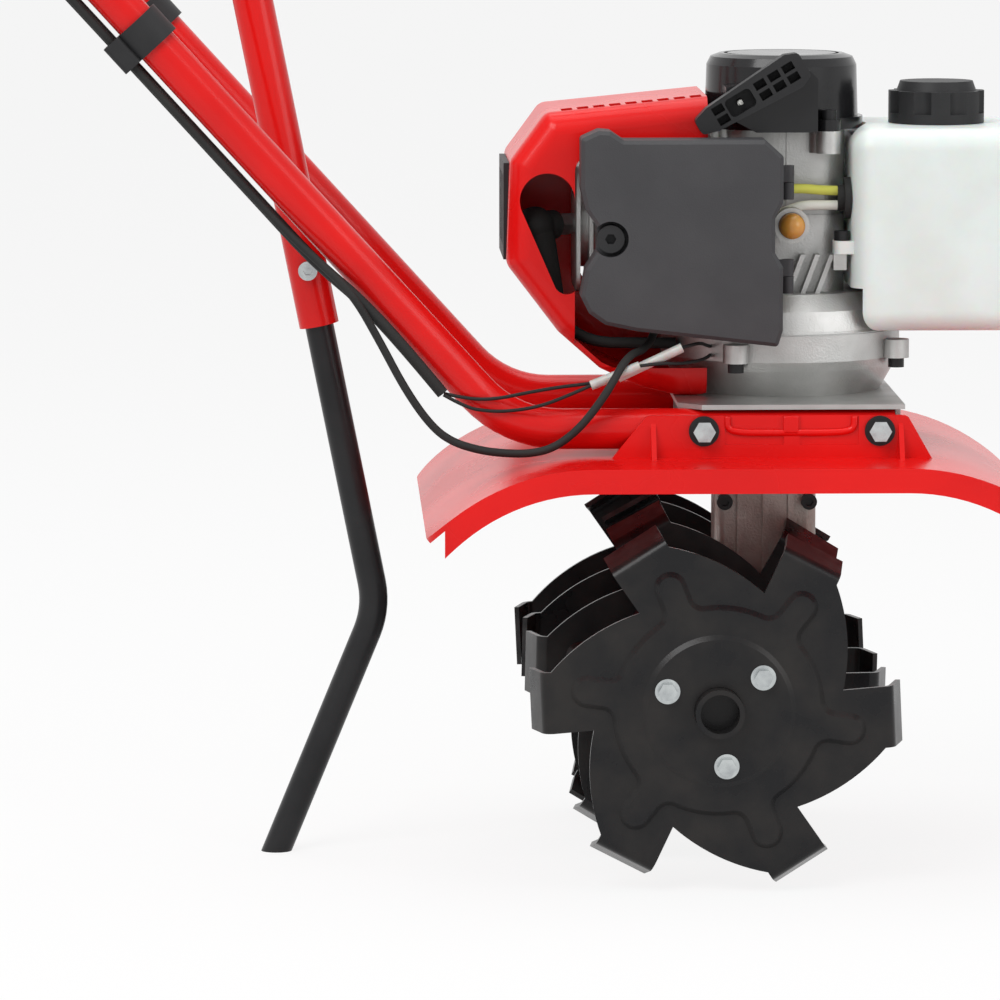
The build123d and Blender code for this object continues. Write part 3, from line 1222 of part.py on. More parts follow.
def carburetor(plate_z):
    """Carburetor body with its throat, a top cover and the primer base."""
    y_in, y_out = -FILTER_BACK_Y + CASE_BACK_T, -CYL_FIN_HALF - 6 - INSULATOR_T
    low, high = CYL_AXIS_H - CARB_HALF, CYL_AXIS_H + CARB_HALF
    body = block(CARB_X - CARB_HALF, CARB_X + CARB_HALF, y_in, y_out, low, high)
    body = fillet(body.edges().filter_by(Axis.Y), 5)
    body += Pos(CARB_X, (y_in + y_out) / 2, high) * Cylinder(9, 16)
    body += block(CARB_X + CARB_HALF - 2, PRIMER_X + 6, y_in + 8, y_in + 14, CYL_AXIS_H - 6, CYL_AXIS_H + 10)
    body += rod_y(PRIMER_R + 3, y_in + 2, y_in + 14, PRIMER_X, CYL_AXIS_H + 2)
    body -= rod_y(PRIMER_R + SLIDE_FIT, y_in, y_in + 6 + PRIMER_TRAVEL, PRIMER_X, CYL_AXIS_H + 2)
    body -= rod_y(10, y_in - 1, y_out + 1, CARB_X, CYL_AXIS_H)
    return Pos(0, 0, plate_z) * body


def insulator(plate_z):
    """Intake spacer between cylinder port and carburetor."""
    y_out = -CYL_FIN_HALF - 6
    spacer = block(CARB_X - 17, CARB_X + 17, y_out - INSULATOR_T, y_out, CYL_AXIS_H - 16, CYL_AXIS_H + 16)
    spacer -= rod_y(10, y_out - INSULATOR_T, y_out, CARB_X, CYL_AXIS_H)
    return Pos(0, 0, plate_z) * spacer


def primer_bulb(plate_z):
    """Domed primer bulb in its seat beside the carburetor."""
    y_in = -FILTER_BACK_Y + CASE_BACK_T
    dome = rod_y(PRIMER_R, y_in - 2, y_in + 5, PRIMER_X, CYL_AXIS_H + 2)
    cap = Pos(PRIMER_X, y_in - 2, CYL_AXIS_H + 2) * Sphere(PRIMER_R)
    return Pos(0, 0, plate_z) * (dome + cap)


def tank_form(shrink):
    """Rounded tank body with hollows that clear fan housing and starter, smaller by a wall."""
    length, width = TANK_FRONT_X - TANK_REAR_X - 2 * shrink, 2 * (TANK_HALF_W - shrink)
    height = TANK_TOP_H - TANK_FOOT_H - 2 * shrink
    body = extrude(RectangleRounded(length, width, TANK_CORNER_R - shrink), height)
    ends = body.edges().group_by(Axis.Z)
    body = fillet(ends[0] + ends[-1], TANK_ROUND - shrink)
    body = Pos((TANK_FRONT_X + TANK_REAR_X) / 2, 0, TANK_FOOT_H + shrink) * body
    body -= rod_z(FAN_R + 4 + shrink, 0, FAN_H + 4 + shrink, CRANK_X)
    top = max(TANK_TOP_H, CASE_TOP_H) + 5
    return body - rod_z(STARTER_R + 5 + shrink, CASE_TOP_H - 4 - shrink, top, CRANK_X)


def fuel_tank(plate_z):
    """Blow-moulded tank: a thin shell with a filler neck, hose hole and two mounting ears."""
    x = (TANK_FRONT_X + TANK_REAR_X) / 2
    tank = tank_form(0) + rod_z(NECK_R, TANK_TOP_H - 4, TANK_TOP_H + NECK_H, x)
    for side in (-1, 1):
        y = side * EAR_Y
        ear = block(TANK_REAR_X - EAR_OUT, TANK_REAR_X + 6, y - 8, y + 8, EAR_H, EAR_H + EAR_T)
        tank += fillet(ear.edges().filter_by(Axis.Z), 4)
    tank -= tank_form(TANK_WALL)
    tank -= rod_z(NECK_R - TANK_WALL, TANK_TOP_H - 8, TANK_TOP_H + NECK_H, x)
    tank -= Pos(TANK_REAR_X, GROMMET_Y, GROMMET_H) * Rot(0, 90, 0) * Cylinder(GROMMET_R - 4, 12)
    return Pos(0, 0, plate_z) * tank


def tank_screws(plate_z):
    """Screws on the tank ears."""
    top = plate_z + EAR_H + EAR_T
    return [socket_screw(TANK_REAR_X - EAR_OUT / 2, side * EAR_Y, top, 1) for side in (-1, 1)]


def tank_grommet(plate_z):
    """Rubber grommet in the tank's hose hole with two hose bores."""
    plug = extrude(Circle(GROMMET_R), -4) + extrude(Circle(GROMMET_R - 5), -8)
    plug += extrude(Circle(GROMMET_R - 4), TANK_WALL)
    for side in (-1, 1):
        plug -= Pos(side * HOSE_STEP, 0, -9) * extrude(Circle(HOSE_R + RUN_FIT), 6)
    return Pos(TANK_REAR_X, GROMMET_Y, plate_z + GROMMET_H) * Rot(0, 90, 0) * plug


def fuel_cap(plate_z):
    """Fluted screw cap that fits over the filler neck."""
    outline = Circle(CAP_R)
    for k in range(CAP_FLUTES):
        x, y = polar(CAP_R + 5, 360 / CAP_FLUTES * (k + 0.5))
        outline -= Pos(x, y) * Circle(8)
    cap = extrude(outline, CAP_H - 6) + extrude(Circle(CAP_R), 6)
    cap += Pos(0, 0, CAP_H - 6) * extrude(Circle(CAP_R - 5), 6, taper=20)
    cap -= extrude(Circle(NECK_R + SLIDE_FIT), NECK_H)
    x = (TANK_FRONT_X + TANK_REAR_X) / 2
    return Pos(x, 0, plate_z + TANK_TOP_H + SLIDE_FIT) * cap


def cord_radii(points):
    """Largest tangent arc at each corner of a cord's route."""
    radii = []
    for a, b, c in zip(points, points[1:], points[2:]):
        before, after = Vector(*b) - Vector(*a), Vector(*c) - Vector(*b)
        turn = math.radians(before.get_angle(after))
        radii.append(0.45 * min(before.length, after.length) / math.tan(turn / 2))
    return radii


def cord(name, route, radius, axle):
    """Cord along its route, whose points are X, Y and rise."""
    points = [(x, y, axle + rise) for x, y, rise in route]
    radii = cord_radii(points)
    piece = swept(points, radii, radius)
    length = piece.volume / (math.pi * radius**2)
    print(f"{name}: least arc {min(radii):.1f}, length {length:.0f}")
    return piece


def tube_plane(start, toward, distance):
    """Frame on a straight tube run: Z along the run, X level across it and Y to its underside."""
    along = (Vector(*toward) - Vector(*start)).normalized()
    side = along.cross(Vector(0, 0, 1)).normalized()
    return Plane(origin=Vector(*start) + along * distance, x_dir=side, z_dir=along)


def cable_clips(axle):
    """Clips that hold the cables under the right tube, and the lower clip's twin on the left tube."""
    points = handle_points(axle)
    band = Circle(TUBE_R + 3) - Circle(TUBE_R)
    lobe = Pos(0, CABLE_DROP) * RectangleRounded(22, 13, 3) - Circle(TUBE_R)
    section = band + lobe
    for x, radius in ((-CABLE_SIDE, THROTTLE_R), (CABLE_SIDE, CONDUIT_R)):
        section -= Pos(x, CABLE_DROP) * Circle(radius + CLIP_FIT)
    planes = [tube_plane(points[run], points[run + 1], distance) for run, distance in CLIP_PLACES]
    clips = [extrude(plane * section, CLIP_HALF, both=True) for plane in planes]
    return clips + [mirrored(extrude(planes[0] * band, CLIP_HALF, both=True))]


def control_plane(axle):
    """Frame at the throttle housing: Z along the tube away from the grip, Y to its underside."""
    points = handle_points(axle)
    return tube_plane(points[-1], points[-2], GRIP_LENGTH + 2)


def lever_pin(radius, length):
    """Round bar on the lever's pin axis, in the frame of the housing."""
    return Pos(0, LEVER_DROP, LEVER_PIN_Z) * Rot(0, 90, 0) * Cylinder(radius, length)


def throttle_housing(axle):
    """Clamp housing on the right tube: cheeks for the lever's pin, cable end block and switch slot."""
    mid = HOUSING_L / 2
    shell = extrude(Circle(TUBE_R + 5), HOUSING_L)
    shell += Pos(0, -TUBE_R - 4, mid) * Box(16, 10, HOUSING_L - 10)
    for side in (-1, 1):
        low, high = TUBE_R - 4, LEVER_DROP + 6.5
        shell += Pos(side * 8, (low + high) / 2, mid - 3) * Box(4, high - low, HOUSING_L - 16)
    shell += Pos(0, CABLE_DROP, HOUSING_L - 4) * Box(20, 12, 8)
    shell += lever_pin(LEVER_PIN_R, 20)
    shell -= extrude(Circle(TUBE_R), HOUSING_L)
    shell -= Pos(0, -TUBE_R - 8, mid) * Box(SWITCH_W + 2 * SLIDE_FIT, 5, SWITCH_L + SWITCH_TRAVEL + 4)
    return control_plane(axle) * shell


def throttle_lever(axle):
    """Squeeze lever under the grip on its pin in the housing."""
    pin, drop = LEVER_PIN_Z, LEVER_DROP
    blade = make_face(Polyline(
        (pin, drop + 3), (pin - 12, drop + 5), (-70, drop + 15), (-82, drop + 22), (-85, drop + 19),
        (-70, drop + 10), (pin - 12, drop - 2), (pin, drop - 3), close=True))
    side = Plane(origin=(LEVER_W / 2, 0, 0), x_dir=(0, 0, 1), z_dir=(-1, 0, 0))
    lever = lever_pin(5, LEVER_W) + extrude(side * blade, LEVER_W)
    return control_plane(axle) * (lever - lever_pin(LEVER_PIN_R + RUN_FIT, 30))


def stop_switch(axle):
    """Sliding stop switch in the housing's slot."""
    z = (HOUSING_L - SWITCH_TRAVEL) / 2
    slider = Pos(0, -TUBE_R - 8 - SLIDE_FIT, z) * Box(SWITCH_W, 5, SWITCH_L)
    slider += Pos(0, -TUBE_R - 12, z) * Box(SWITCH_W, 3, SWITCH_L / 2)
    return control_plane(axle) * slider


def tine_shaft(axle):
    """Axle bar between the hub sockets with the cross holes of the hub pins."""
    reach = HUB_END_Y - HUB_SOCKET_DEPTH
    bar = rod_y(AXLE_R, -reach, reach)
    for side in (-1, 1):
        bar -= Pos(0, side * HUB_PIN_Y, 0) * Cylinder(HUB_PIN_R + RUN_FIT, 4 * HUB_R)
    return Pos(0, 0, axle) * bar


def hub_pins(axle):
    """Pins that key both hubs to the axle."""
    return [Pos(0, side * HUB_PIN_Y, axle) * Cylinder(HUB_PIN_R, 2 * HUB_R) for side in (-1, 1)]


def gearbox_bearings(axle):
    """Rings in the gearbox that carry the axle and the worm shaft."""
    rings = []
    for side in (-1, 1):
        seat = sorted((side * (BOSS_END_Y - BEARING_W - 6), side * (BOSS_END_Y - 6)))
        rings.append(ring_y(BEARING_R - RUN_FIT, AXLE_R + RUN_FIT, seat[0], seat[1], axle))
    for low, high in worm_bearing_seats(axle):
        rings.append(ring_z(WORM_BEARING_R - RUN_FIT, WORM_SHAFT_R + RUN_FIT, low, high, CRANK_X))
    return rings


def wire_connectors(axle):
    """Insulating sleeves over the two plug connections of the switch wires."""
    return [
        swept_line(Vector(x0, y0, axle + z0), Vector(x1, y1, axle + z1), SLEEVE_R)
        for (x0, y0, z0), (x1, y1, z1) in SLEEVES
    ]


def swept_line(start, end, radius):
    """Round bar between two points."""
    return extrude(Plane(origin=start, z_dir=end - start) * Circle(radius), (end - start).length)


def socket_screws(axle, plate_z):
    """All socket screws of gearbox, fan housing, starter and tank."""
    upper = starter_screws(plate_z) + tank_screws(plate_z)
    return gearbox_screws(axle) + fan_screws(plate_z) + upper


def both_sides(pieces):
    """The given pieces and their twins on the other side."""
    return pieces + [mirrored(piece) for piece in pieces]


def rotor_nodes(axle, discs):
    """Everything that turns with the tine axle."""
    outer, inner = (
        Pos(0, -y - TINE_T / 2, axle) * disc for y, disc in zip((OUTER_DISC_Y, INNER_DISC_Y), discs)
    )
    hub = tine_hub(axle)
    return {
        "tine_shaft": tine_shaft(axle),
        "worm_wheel": worm_wheel(axle),
        "tine_hub_right": hub,
        "tine_hub_left": mirrored(hub),
        "tine_disc_outer_right": outer,
        "tine_disc_inner_right": inner,
        "tine_disc_inner_left": mirrored(inner),
        "tine_disc_outer_left": mirrored(outer),
        "tine_bolts": both_sides(tine_bolts(axle)) + hub_pins(axle),
    }


def frame_nodes(axle, plate_z):
    """Gearbox, base plate, fender, handles, centre tube and stake."""
    right, left = gearbox(axle, plate_z - PLATE_T)
    tube = handle_tube(axle)
    bolts, washers = handle_hardware(axle)
    return {
        "gearbox_right": right,
        "gearbox_left": left,
        "gearbox_bearings": gearbox_bearings(axle),
        "base_plate": base_plate(axle, FAN_FOOT_R),
        "fender": fender(axle),
        "handle_tubes": both_sides([tube]),
        "grips": both_sides([handle_grip(axle)]) + [carry_grip(axle)],
        "handle_bolts": both_sides(bolts),
        "handle_washers": both_sides(washers),
        "center_tube": center_tube(axle),
        "cross_brace": cross_brace(axle),
        "stake": stake(axle),
        "stake_bolt": stake_bolt(axle),
    }


def engine_nodes(axle, plate_z):
    """Drive line, castings, cowl, intake, exhaust and fuel tank."""
    drum_z = plate_z + DRUM_LIFT
    flywheel, shoes, pulley = engine_rotor(plate_z, drum_z)
    return {
        "worm_shaft": worm_shaft(axle, drum_z),
        "clutch_drum": clutch_drum(drum_z),
        "flywheel": flywheel,
        "clutch_shoes": shoes,
        "starter_pulley": pulley,
        "fan_housing": fan_housing(plate_z),
        "crankcase": crankcase(plate_z),
        "starter_cover": starter_cover(plate_z),
        "starter_handle": starter_handle(plate_z),
        "starter_rope": starter_rope(plate_z),
        "socket_screws": socket_screws(axle, plate_z),
        "cylinder": cylinder(plate_z),
        "engine_cowl": engine_cowl(plate_z),
        "rear_vent": rear_vent(plate_z),
        "spark_plug": spark_plug(plate_z),
        "plug_cap": plug_cap(plate_z),
        "plug_lead": cord("plug_lead", LEAD_ROUTE, LEAD_R, axle),
        "muffler": muffler(plate_z),
        "intake_spacer": insulator(plate_z),
        "carburetor": carburetor(plate_z),
        "primer_bulb": primer_bulb(plate_z),
        "air_filter_case": filter_case(plate_z),
        "air_filter_element": filter_element(plate_z),
        "air_filter_cover": filter_cover(plate_z),
        "cover_knob": cover_knob(plate_z),
        "fuel_tank": fuel_tank(plate_z),
        "fuel_cap": fuel_cap(plate_z),
        "tank_grommet": tank_grommet(plate_z),
        "fuel_line": cord("fuel_line", FUEL_ROUTE, HOSE_R, axle),
        "return_line": cord("return_line", RETURN_ROUTE, HOSE_R, axle),
    }


def control_nodes(axle):
    """Throttle, stop switch and the cables down the right tube."""
    wires = [cord(f"switch wire {k}", route, WIRE_R, axle) for k, route in enumerate(WIRE_ROUTES)]
    return {
        "cable_clips": cable_clips(axle),
        "throttle_housing": throttle_housing(axle),
        "throttle_lever": throttle_lever(axle),
        "stop_switch": stop_switch(axle),
        "throttle_cable": cord("throttle_cable", THROTTLE_ROUTE, THROTTLE_R, axle),
        "wire_conduit": cord("wire_conduit", CONDUIT_ROUTE, CONDUIT_R, axle),
        "switch_wires": wires,
        "wire_connectors": wire_connectors(axle),
    }


def as_one(piece):
    """A node's solids as one shape."""
    return Compound(children=piece) if isinstance(piece, list) else piece


def place_on_ground(nodes):
    """Move that sets the middle of the whole machine's box over the origin, and its foot on the ground."""
    boxes = [shape.bounding_box() for shape in nodes.values()]
    low = [min(getattr(box.min, axis) for box in boxes) for axis in "XYZ"]
    high = [max(getattr(box.max, axis) for box in boxes) for axis in "XYZ"]
    return Vector(-(low[0] + high[0]) / 2, -(low[1] + high[1]) / 2, -low[2])


def main():
    """Builds every node, sets the machine on the origin and writes one file for each node."""
    discs = [tine_disc(turn) for turn in (0.0, INNER_DISC_TURN)]
    axle = max(-disc.bounding_box().min.Z for disc in discs)
    plate_z = axle + TUBE_RISE + TUBE_R + PLATE_T
    nodes = {**rotor_nodes(axle, discs), **frame_nodes(axle, plate_z)}
    nodes |= {**engine_nodes(axle, plate_z), **control_nodes(axle)}
    nodes = {name: as_one(piece) for name, piece in nodes.items()}
    move = place_on_ground(nodes)
    os.makedirs("parts", exist_ok=True)
    for name, shape in nodes.items():
        export_step(Pos(move) * shape, f"parts/{name}.step")
    print(f"axle height {axle:.3f}, plate top {plate_z:.3f}, move {move.X:.3f} {move.Y:.3f} {move.Z:.3f}")


if __name__ == "__main__":
    main()
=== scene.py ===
import logging
from dataclasses import dataclass, field
from enum import Enum

import bpy
import numpy as np
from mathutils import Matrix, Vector


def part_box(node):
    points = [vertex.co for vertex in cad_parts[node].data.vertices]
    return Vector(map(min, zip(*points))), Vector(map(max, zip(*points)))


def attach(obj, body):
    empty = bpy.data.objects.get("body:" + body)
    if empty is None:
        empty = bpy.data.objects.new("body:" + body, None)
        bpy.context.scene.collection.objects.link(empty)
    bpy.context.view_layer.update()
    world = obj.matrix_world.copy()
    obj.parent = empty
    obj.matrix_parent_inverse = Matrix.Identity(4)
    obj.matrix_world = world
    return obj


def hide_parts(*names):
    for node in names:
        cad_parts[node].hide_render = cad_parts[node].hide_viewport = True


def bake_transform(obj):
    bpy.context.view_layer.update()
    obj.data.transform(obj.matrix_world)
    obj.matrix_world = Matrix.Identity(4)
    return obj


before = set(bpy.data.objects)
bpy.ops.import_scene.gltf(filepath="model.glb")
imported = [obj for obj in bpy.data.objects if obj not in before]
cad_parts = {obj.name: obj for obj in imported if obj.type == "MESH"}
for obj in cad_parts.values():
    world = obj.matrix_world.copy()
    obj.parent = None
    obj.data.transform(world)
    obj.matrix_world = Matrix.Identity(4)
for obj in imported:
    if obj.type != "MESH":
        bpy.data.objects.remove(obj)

log = logging.getLogger("tiller")

MM = 0.001
AXLE_X = 305.922
AXLE_Z = 113.286
COAT_ROUGHNESS = 0.08
SUBSURFACE_M = 0.01
LEAST_ROUGHNESS = 0.02
CLOUD_OCTAVES, FINE_OCTAVES, SOFT_OCTAVES = 4.0, 6.0, 2.0
CLOUD_SPAN = (0.35, 0.7)
DRAWN_STRETCH = (0.04, 1.0, 1.0)
STRANDS_PER_GRAIN = 0.3
Point = tuple[float, float, float]
Nodes = bpy.types.Nodes
Links = bpy.types.NodeLinks
Socket = bpy.types.NodeSocket


def placed(point: Point) -> Point:
    """Metres in the shared frame of a point given in mm from the tine axle.

    Args:
        point: forward, left and rise from the axle, in mm.

    Returns:
        The same point in metres in the part's frame.
    """
    return ((point[0] + AXLE_X) * MM, point[1] * MM, (point[2] + AXLE_Z) * MM)


class Grain(Enum):
    """How a surface is broken up at close range."""

    MOULDED = "fine even dimples of a moulded or sprayed surface"
    CAST = "coarse sand-cast pits"
    DRAWN = "streaks along one direction"
    WOVEN = "crossing strands"


@dataclass(frozen=True)
class Finish:
    """A procedural surface: two tones mixed by cloudy noise, with roughness and bump from finer noise."""

    name: str
    colour: Point
    shade: Point
    roughness: float
    spread: float
    grain: Grain = Grain.MOULDED
    grain_mm: float = 0.6
    bump: float = 0.08
    cloud_mm: float = 40.0
    metallic: float = 0.0
    coat: float = 0.0
    glow_through: float = 0.0
    shine: float = 0.5

    def material(self) -> bpy.types.Material:
        """The finish's material, made once and then shared.

        Returns:
            The material with its node tree.
        """
        known = bpy.data.materials.get(self.name)
        if known:
            return known
        made = bpy.data.materials.new(self.name)
        made.use_nodes = True
        nodes, links = made.node_tree.nodes, made.node_tree.links
        shader = nodes["Principled BSDF"]
        shader.inputs["Metallic"].default_value = self.metallic
        shader.inputs["Coat Weight"].default_value = self.coat
        shader.inputs["Specular IOR Level"].default_value = self.shine
        shader.inputs["Coat Roughness"].default_value = COAT_ROUGHNESS
        shader.inputs["Subsurface Weight"].default_value = self.glow_through
        shader.inputs["Subsurface Scale"].default_value = SUBSURFACE_M
        place = nodes.new("ShaderNodeTexCoord").outputs["Object"]
        cloud = self.noise(nodes, links, place, self.cloud_mm, CLOUD_OCTAVES)
        tone = nodes.new("ShaderNodeMix")
        tone.data_type = "RGBA"
        tone.inputs[6].default_value = (*self.colour, 1.0)
        tone.inputs[7].default_value = (*self.shade, 1.0)
        links.new(self.sharpened(nodes, links, cloud), tone.inputs[0])
        links.new(self.worn(nodes, links, place, tone.outputs[2]), shader.inputs["Base Color"])
        rough = nodes.new("ShaderNodeMapRange")
        rough.inputs["To Min"].default_value = max(self.roughness - self.spread, LEAST_ROUGHNESS)
        rough.inputs["To Max"].default_value = min(self.roughness + self.spread, 1.0)
        links.new(cloud, rough.inputs["Value"])
        links.new(rough.outputs["Result"], shader.inputs["Roughness"])
        relief = nodes.new("ShaderNodeBump")
        relief.inputs["Strength"].default_value = self.bump
        relief.inputs["Distance"].default_value = self.grain_mm * MM
        links.new(self.relief(nodes, links, place), relief.inputs["Height"])
        links.new(relief.outputs["Normal"], shader.inputs["Normal"])
        return made

    @staticmethod
    def noise(nodes: Nodes, links: Links, place: Socket, size_mm: float, detail: float) -> Socket:
        """A noise field whose blobs are about size_mm across.

        Args:
            nodes: the tree's nodes.
            links: the tree's links.
            place: socket of the coordinates.
            size_mm: blob size in mm.
            detail: octaves of the noise.

        Returns:
            The socket of the noise value.
        """
        field_node = nodes.new("ShaderNodeTexNoise")
        field_node.inputs["Scale"].default_value = 1.0 / (size_mm * MM)
        field_node.inputs["Detail"].default_value = detail
        links.new(place, field_node.inputs["Vector"])
        return field_node.outputs[0]

    @staticmethod
    def sharpened(nodes: Nodes, links: Links, value: Socket) -> Socket:
        """The middle of a noise field stretched over nought to one.

        Args:
            nodes: the tree's nodes.
            links: the tree's links.
            value: socket of the noise value.

        Returns:
            The socket of the stretched value.
        """
        span = nodes.new("ShaderNodeMapRange")
        span.inputs["From Min"].default_value, span.inputs["From Max"].default_value = CLOUD_SPAN
        links.new(value, span.inputs["Value"])
        return span.outputs["Result"]

    def relief(self, nodes: Nodes, links: Links, place: Socket) -> Socket:
        """The height field of the grain.

        Args:
            nodes: the tree's nodes.
            links: the tree's links.
            place: socket of the coordinates.

        Returns:
            The socket of the height.
        """
        if self.grain is Grain.DRAWN:
            stretch = nodes.new("ShaderNodeMapping")
            stretch.inputs["Scale"].default_value = DRAWN_STRETCH
            links.new(place, stretch.inputs["Vector"])
            place = stretch.outputs["Vector"]
        if self.grain is Grain.WOVEN:
            strands = nodes.new("ShaderNodeTexWave")
            strands.bands_direction = "DIAGONAL"
            strands.inputs["Scale"].default_value = STRANDS_PER_GRAIN / (self.grain_mm * MM)
            links.new(place, strands.inputs["Vector"])
            return strands.outputs[1]
        octaves = FINE_OCTAVES if self.grain is Grain.CAST else SOFT_OCTAVES
        return self.noise(nodes, links, place, self.grain_mm, octaves)

    def worn(self, nodes: Nodes, links: Links, place: Socket, tone: Socket) -> Socket:
        """The tone with this finish's wear on it; a plain finish has none.

        Args:
            nodes: the tree's nodes.
            links: the tree's links.
            place: socket of the coordinates.
            tone: socket of the colour.

        Returns:
            The socket of the colour, unchanged.
        """
        return tone


@dataclass(frozen=True)
class RimWear(Finish):
    """Paint rubbed to bare metal towards the rim: a ramp over the distance from the tine axle, times noise."""

    bare: Point = (0.42, 0.41, 0.4)
    from_mm: float = 92.0
    to_mm: float = 119.0
    speck_mm: float = 9.0

    def worn(self, nodes: Nodes, links: Links, place: Socket, tone: Socket) -> Socket:
        """The paint tone mixed with bare metal by distance from the axle, broken up by noise.

        Args:
            nodes: the tree's nodes.
            links: the tree's links.
            place: socket of the coordinates.
            tone: socket of the paint colour.

        Returns:
            The socket of the worn colour.
        """
        centred = nodes.new("ShaderNodeMapping")
        centred.inputs["Location"].default_value = (-AXLE_X * MM, 0.0, -AXLE_Z * MM)
        centred.inputs["Scale"].default_value = (1.0, 0.0, 1.0)
        links.new(place, centred.inputs["Vector"])
        radius = nodes.new("ShaderNodeVectorMath")
        radius.operation = "LENGTH"
        links.new(centred.outputs["Vector"], radius.inputs[0])
        rim = nodes.new("ShaderNodeMapRange")
        rim.inputs["From Min"].default_value = self.from_mm * MM
        rim.inputs["From Max"].default_value = self.to_mm * MM
        links.new(radius.outputs["Value"], rim.inputs["Value"])
        broken = nodes.new("ShaderNodeMath")
        broken.operation = "MULTIPLY"
        links.new(rim.outputs["Result"], broken.inputs[0])
        specks = self.noise(nodes, links, place, self.speck_mm, FINE_OCTAVES)
        links.new(self.sharpened(nodes, links, specks), broken.inputs[1])
        mixed = nodes.new("ShaderNodeMix")
        mixed.data_type = "RGBA"
        mixed.inputs[7].default_value = (*self.bare, 1.0)
        links.new(broken.outputs["Value"], mixed.inputs[0])
        links.new(tone, mixed.inputs[6])
        return mixed.outputs[2]


RED = Finish("red_moulding", (0.74, 0.006, 0.005), (0.63, 0.005, 0.005), 0.27, 0.06, bump=0.03, cloud_mm=90,
             coat=0.05, shine=0.22)
TINE = RimWear("tine_paint", (0.009, 0.009, 0.01), (0.021, 0.019, 0.018), 0.3, 0.12, grain_mm=1.2, bump=0.05,
               cloud_mm=28, coat=0.0, shine=0.22, bare=(0.13, 0.13, 0.13), from_mm=108.0, to_mm=126.0)
RED_TUBE = Finish("red_tube_paint", (0.7, 0.007, 0.006), (0.6, 0.006, 0.006), 0.25, 0.05, bump=0.03, cloud_mm=70,
                  coat=0.05, shine=0.24)
TUBE = Finish("black_bar_paint", (0.01, 0.01, 0.011), (0.018, 0.018, 0.019), 0.32, 0.08, bump=0.05, shine=0.25)
BLACK = Finish("black_moulding", (0.014, 0.014, 0.015), (0.022, 0.022, 0.023), 0.5, 0.08, bump=0.12, shine=0.25)
GLOSS = Finish("starter_gloss", (0.008, 0.008, 0.009), (0.013, 0.013, 0.014), 0.2, 0.05, bump=0.03, coat=0.1,
               shine=0.3)
GREY = Finish("filter_grey", (0.046, 0.046, 0.049), (0.056, 0.056, 0.059), 0.58, 0.06, grain_mm=0.8, bump=0.2,
              shine=0.25)
GEARBOX = Finish("gearbox_casting", (0.42, 0.39, 0.36), (0.3, 0.27, 0.24), 0.48, 0.12, Grain.CAST, 1.6, 0.25, 22, 0.6)
CAST = Finish("engine_casting", (0.5, 0.5, 0.49), (0.4, 0.4, 0.39), 0.44, 0.1, Grain.CAST, 1.2, 0.22, 26, 0.85)
PLATE = Finish("mill_plate", (0.46, 0.46, 0.45), (0.36, 0.36, 0.35), 0.4, 0.1, Grain.DRAWN, 0.5, 0.12, 30, 0.95)
STEEL = Finish("machined_steel", (0.5, 0.5, 0.5), (0.42, 0.42, 0.42), 0.3, 0.08, Grain.DRAWN, 0.4, 0.08, 20, 1.0)
ZINC = Finish("zinc_plating", (0.54, 0.57, 0.57), (0.38, 0.4, 0.41), 0.24, 0.08, grain_mm=0.5, cloud_mm=8,
              metallic=1.0)
BRONZE = Finish("gear_bronze", (0.5, 0.33, 0.14), (0.42, 0.27, 0.11), 0.34, 0.08, cloud_mm=14, metallic=1.0)
RUBBER = Finish("black_rubber", (0.014, 0.014, 0.014), (0.024, 0.024, 0.023), 0.68, 0.1, grain_mm=0.9, bump=0.25,
                shine=0.25)
TANK = Finish("tank_plastic", (0.8, 0.81, 0.79), (0.74, 0.75, 0.72), 0.4, 0.06, bump=0.06, glow_through=0.35)
AMBER = Finish("bulb_amber", (0.62, 0.3, 0.05), (0.52, 0.24, 0.04), 0.22, 0.05, cloud_mm=9, glow_through=0.3)
FUEL_HOSE = Finish("hose_yellow", (0.52, 0.5, 0.07), (0.44, 0.42, 0.06), 0.3, 0.06, cloud_mm=12, glow_through=0.3)
CLEAR_HOSE = Finish("hose_clear", (0.66, 0.66, 0.58), (0.58, 0.58, 0.5), 0.28, 0.06, cloud_mm=12, glow_through=0.4)
SLEEVE = Finish("clear_sleeve", (0.55, 0.55, 0.52), (0.45, 0.45, 0.43), 0.35, 0.06, cloud_mm=8, glow_through=0.3)
FOAM = Finish("filter_foam", (0.05, 0.05, 0.05), (0.09, 0.09, 0.09), 0.9, 0.06, Grain.CAST, 1.5, 0.6, 10)
ROPE = Finish("woven_rope", (0.62, 0.62, 0.59), (0.5, 0.5, 0.47), 0.82, 0.08, Grain.WOVEN, 0.9, 0.7, 6)
SCORCHED = Finish("scorched_steel", (0.1, 0.09, 0.08), (0.17, 0.14, 0.11), 0.5, 0.12, Grain.CAST, 1.4, 0.25, 18, 0.8)


def dress(finish: Finish, *names: str) -> None:
    """Gives one finish to solids of the frame.

    Args:
        finish: the surface.
        names: the nodes' names.
    """
    for name in names:
        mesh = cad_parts[name].data
        mesh.materials.clear()
        mesh.materials.append(finish.material())
        log.info("dressed %s in %s", name, finish.name)


